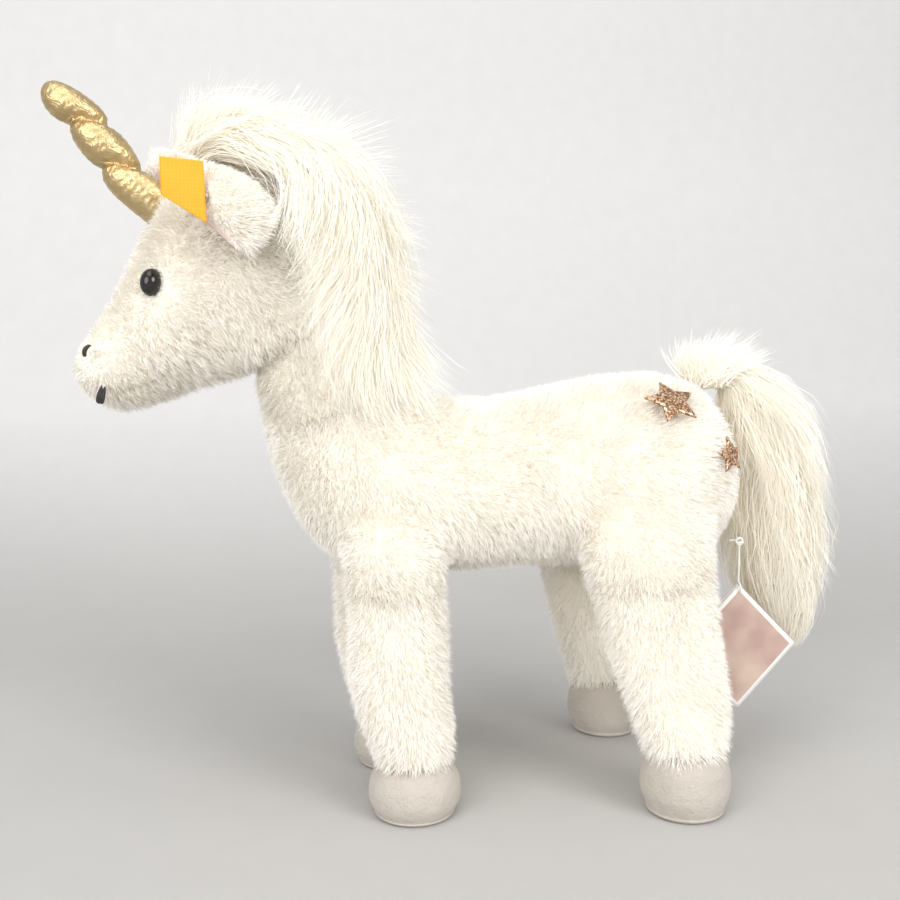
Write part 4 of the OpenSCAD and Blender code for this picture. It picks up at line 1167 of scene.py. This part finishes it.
# tint per cell at random; the near-white end of the ramp is a painted glint
glitterTintAndGlints = glitterShare.make("ValToRGB", {"stops": [(0.0, (0.10, 0.045, 0.02)), (0.35, (0.33, 0.16, 0.08)),
                                                       (0.62, (0.62, 0.36, 0.20)), (0.86, (0.85, 0.60, 0.38)),
                                                       (1.0, (1.0, 0.92, 0.78))]}, {"Fac": glitterShare})
glitterBump = glitterStart.make("Bump", {}, {"Height": glitterOther, "Strength": 0.9, "Distance": 0.0004})
plug(glitterShader, BaseColor=glitterTintAndGlints, Roughness=0.18 + glitterOther * 0.3, Metallic=0.55 + glitterShare * 0.3,
     Normal=glitterBump)

starSizes = dict(waist=0.50, stand=5.4 * mm, thick=0.9 * mm)


def makeStar(name, node, radius, spin, squash):
    # a five-pointed star laid over the pile: every point is set on the skin and lifted to the top of the pile
    foot, normal = skinPoint(np.mean(boxOf(node), 0))
    across, up = turned(normal)
    corner = np.arange(10)
    size = np.where(corner % 2 == 0, 1.0, starSizes["waist"])
    angle = corner * math.pi / 5 + spin
    rim = (np.stack([np.cos(angle), np.sin(angle)], -1) * size[:, None])[:, None]
    edge = rim + (np.roll(rim, -1, 0) - rim) * np.linspace(0, 1, 6, endpoint=False)[:, None]
    rings = np.array([(0.03, 1), (0.2, 1), (0.4, 1), (0.6, 1), (0.8, 1), (0.95, 0.9), (1, 0.55), (1, -0.1)])
    grid = edge.reshape(1, -1, 2) * rings[:, 0, None, None] * radius * np.array([1, squash])
    flat = foot + across * grid[..., 0:1] + up * grid[..., 1:2]
    skinSpots = np.array([skinPoint(spot) for spot in flat.reshape(-1, 3)]).reshape(*flat.shape[:2], 2, 3)
    stand = starSizes["stand"] + starSizes["thick"] * rings[:, 1, None, None]
    star = objectOf(name, tubeMesh(name, skinSpots[:, :, 0] + skinSpots[:, :, 1] * stand), glitter)
    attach(star, "torso")
    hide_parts(node)


# hang tag

# card: an off-white border round a plain warm print with soft cloudy tones, laid out by the card's own map
card, cardShader, cardStart = paint("card board", {"Specular IOR Level": 0.4, "Roughness": 0.45})
cardMap = cardStart.make("UVMap", {"uv_map": "OFBake"}, {})
cardU, cardV = [cardStart.make("SeparateXYZ", {}, {"Vector": cardMap}, axis) for axis in (0, 1)]
cardEdge = cardU.maths("MINIMUM", cardU.maths("MINIMUM", cardU, 1 - cardU),
                       cardV.maths("MINIMUM", cardV, 1 - cardV))
cardInside = ((cardEdge - 0.045) * 400).clamp()
cardPrint = ((placeNoise(cardStart, 55.0) - 0.35) * 3.5).clamp().blend((0.46, 0.31, 0.27, 1), (0.62, 0.48, 0.39, 1))
plug(cardShader, BaseColor=cardInside.blend((0.92, 0.90, 0.87, 1), cardPrint))

cardSizes = dict(side=36.5 * mm, leaf=0.5 * mm)


def makeCard():
    # two leaves folded along one upper edge; the square hangs by its top corner and the print fills its outer side
    low, high = boxOf("tag_card")
    corner = np.array([0, (low[1] + high[1]) / 2, high[2]])
    right, down = np.array([0, 1, -1.0]) / math.sqrt(2), np.array([0, -1, -1.0]) / math.sqrt(2)
    u, v = np.meshgrid(np.linspace(0, 1, 20), np.linspace(0, 1, 20), indexing="ij")
    flat = corner + (right * u[..., None] + down * v[..., None]) * cardSizes["side"]
    leaves, mapLayer = [], []
    for base, gape in ((high[0], 1.0), (low[0] + cardSizes["leaf"], -1.0)):
        bow = gape * (0.9 * mm * v * (1 - 0.3 * u) + 0.5 * mm * np.sin(u * 3) * v)
        outer = flat + np.stack([base + bow, 0 * u, 0 * u], -1)
        inner = outer - np.array([cardSizes["leaf"], 0, 0])
        leaves.append(tubeMesh("leaf", np.concatenate([outer, inner[:, ::-1]], 1)))
        spots = np.concatenate([np.stack([u, v], -1), np.stack([u, v], -1)[:, ::-1]], 1)
        mapLayer.append(np.concatenate([spots.reshape(-1, 2), [[0, 0.5], [1, 0.5]]]))
    mesh = joinMeshes("hangCard", leaves)
    corners = np.zeros(len(mesh.loops), np.int32)
    mesh.loops.foreach_get("vertex_index", corners)
    layer = mesh.uv_layers.new(name="OFBake")
    layer.data.foreach_set("uv", np.concatenate(mapLayer)[corners].astype(np.float32).ravel())
    hangCard = objectOf("hangCard", mesh, card)
    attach(hangCard, "tag")
    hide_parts("tag_card")


# cotton thread: off-white by a fine noise
cotton = mottled("white thread", {"Roughness": 0.8}, 2000.0, 2.0, (0.78, 0.77, 0.74), (0.9, 0.89, 0.86))[0]

makeMane()
makeForelock()
makeTail()
stageDone("long hair")
makeHorn()
for legName in legNames:
    makeHoof(legName)
for side, sign in (("left", 1), ("right", -1)):
    makeEye(side)
    makeStitches(f"nostrilStitch_{side}", f"nostril_{side}", nostril)
    makeStitches(f"mouthStitch_{side}", f"mouth_{side}", mouth)
    makeEar(side, sign, 90)
makeLabel()
makeStar("largeStar", "large_star", 10.4 * mm, 0.45, 0.95)
makeStar("smallStar", "small_star", 6.4 * mm, 0.4, 1.0)
makeCard()
dress("ear_button", metal)
dress("tag_loop", cotton)
dress("tag_anchor", cotton)
stageDone("trim")

# stage

# reach is how far floor and wall run; the turn is wide enough to walk round behind the toy
stageSizes = dict(reach=3.0, back=-0.20, curve=0.50, steps=24)


def makeStage():
    # a floor that turns up into a wall by a quarter circle, carried across the view; its grey gets lighter
    # with the height in two steps, a painted light that makes the wall brighter than the floor, clouded by a soft noise
    turn = np.linspace(0, math.pi / 2, stageSizes["steps"])
    reach, r, back = stageSizes["reach"], stageSizes["curve"], stageSizes["back"]
    bend = np.stack([back - r * np.sin(turn), r - r * np.cos(turn)], -1)
    profile = np.concatenate([[[reach, 0]], bend, [[back - r, reach]]])
    across = np.linspace(-reach, reach, 5)
    grid = np.array([[(x, y, z) for y in across] for x, z in profile])
    mesh = meshOf("stage", grid.reshape(-1, 3), gridFaces(len(profile), len(across), False)[:, ::-1])
    material, shader, start = paint("paper backdrop", {"Specular IOR Level": 0.1})
    cloud = placeNoise(start, 60.0, 4.0)
    height = start.make("SeparateXYZ", {}, {"Vector": start.make("TexCoord", {}, {}, "Object")}, 2)
    # painted light: the same paper is given a lighter grey up the wall than on the floor
    paintedLightByHeight = ((height - 0.01) * 8.0).clamp().blend((0.51, 0.5, 0.487, 1), (0.68, 0.676, 0.669, 1))
    paintedLightByHeight = ((height - 0.2) * 6.0).clamp().blend(paintedLightByHeight, (0.71, 0.707, 0.701, 1))
    plug(shader, BaseColor=(cloud * 0.12).blend(paintedLightByHeight, (0.3, 0.3, 0.3, 1)), Roughness=0.8 + cloud * 0.1)
    return objectOf("stage", mesh, material)


makeStage()

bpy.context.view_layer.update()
stageDone("ready")
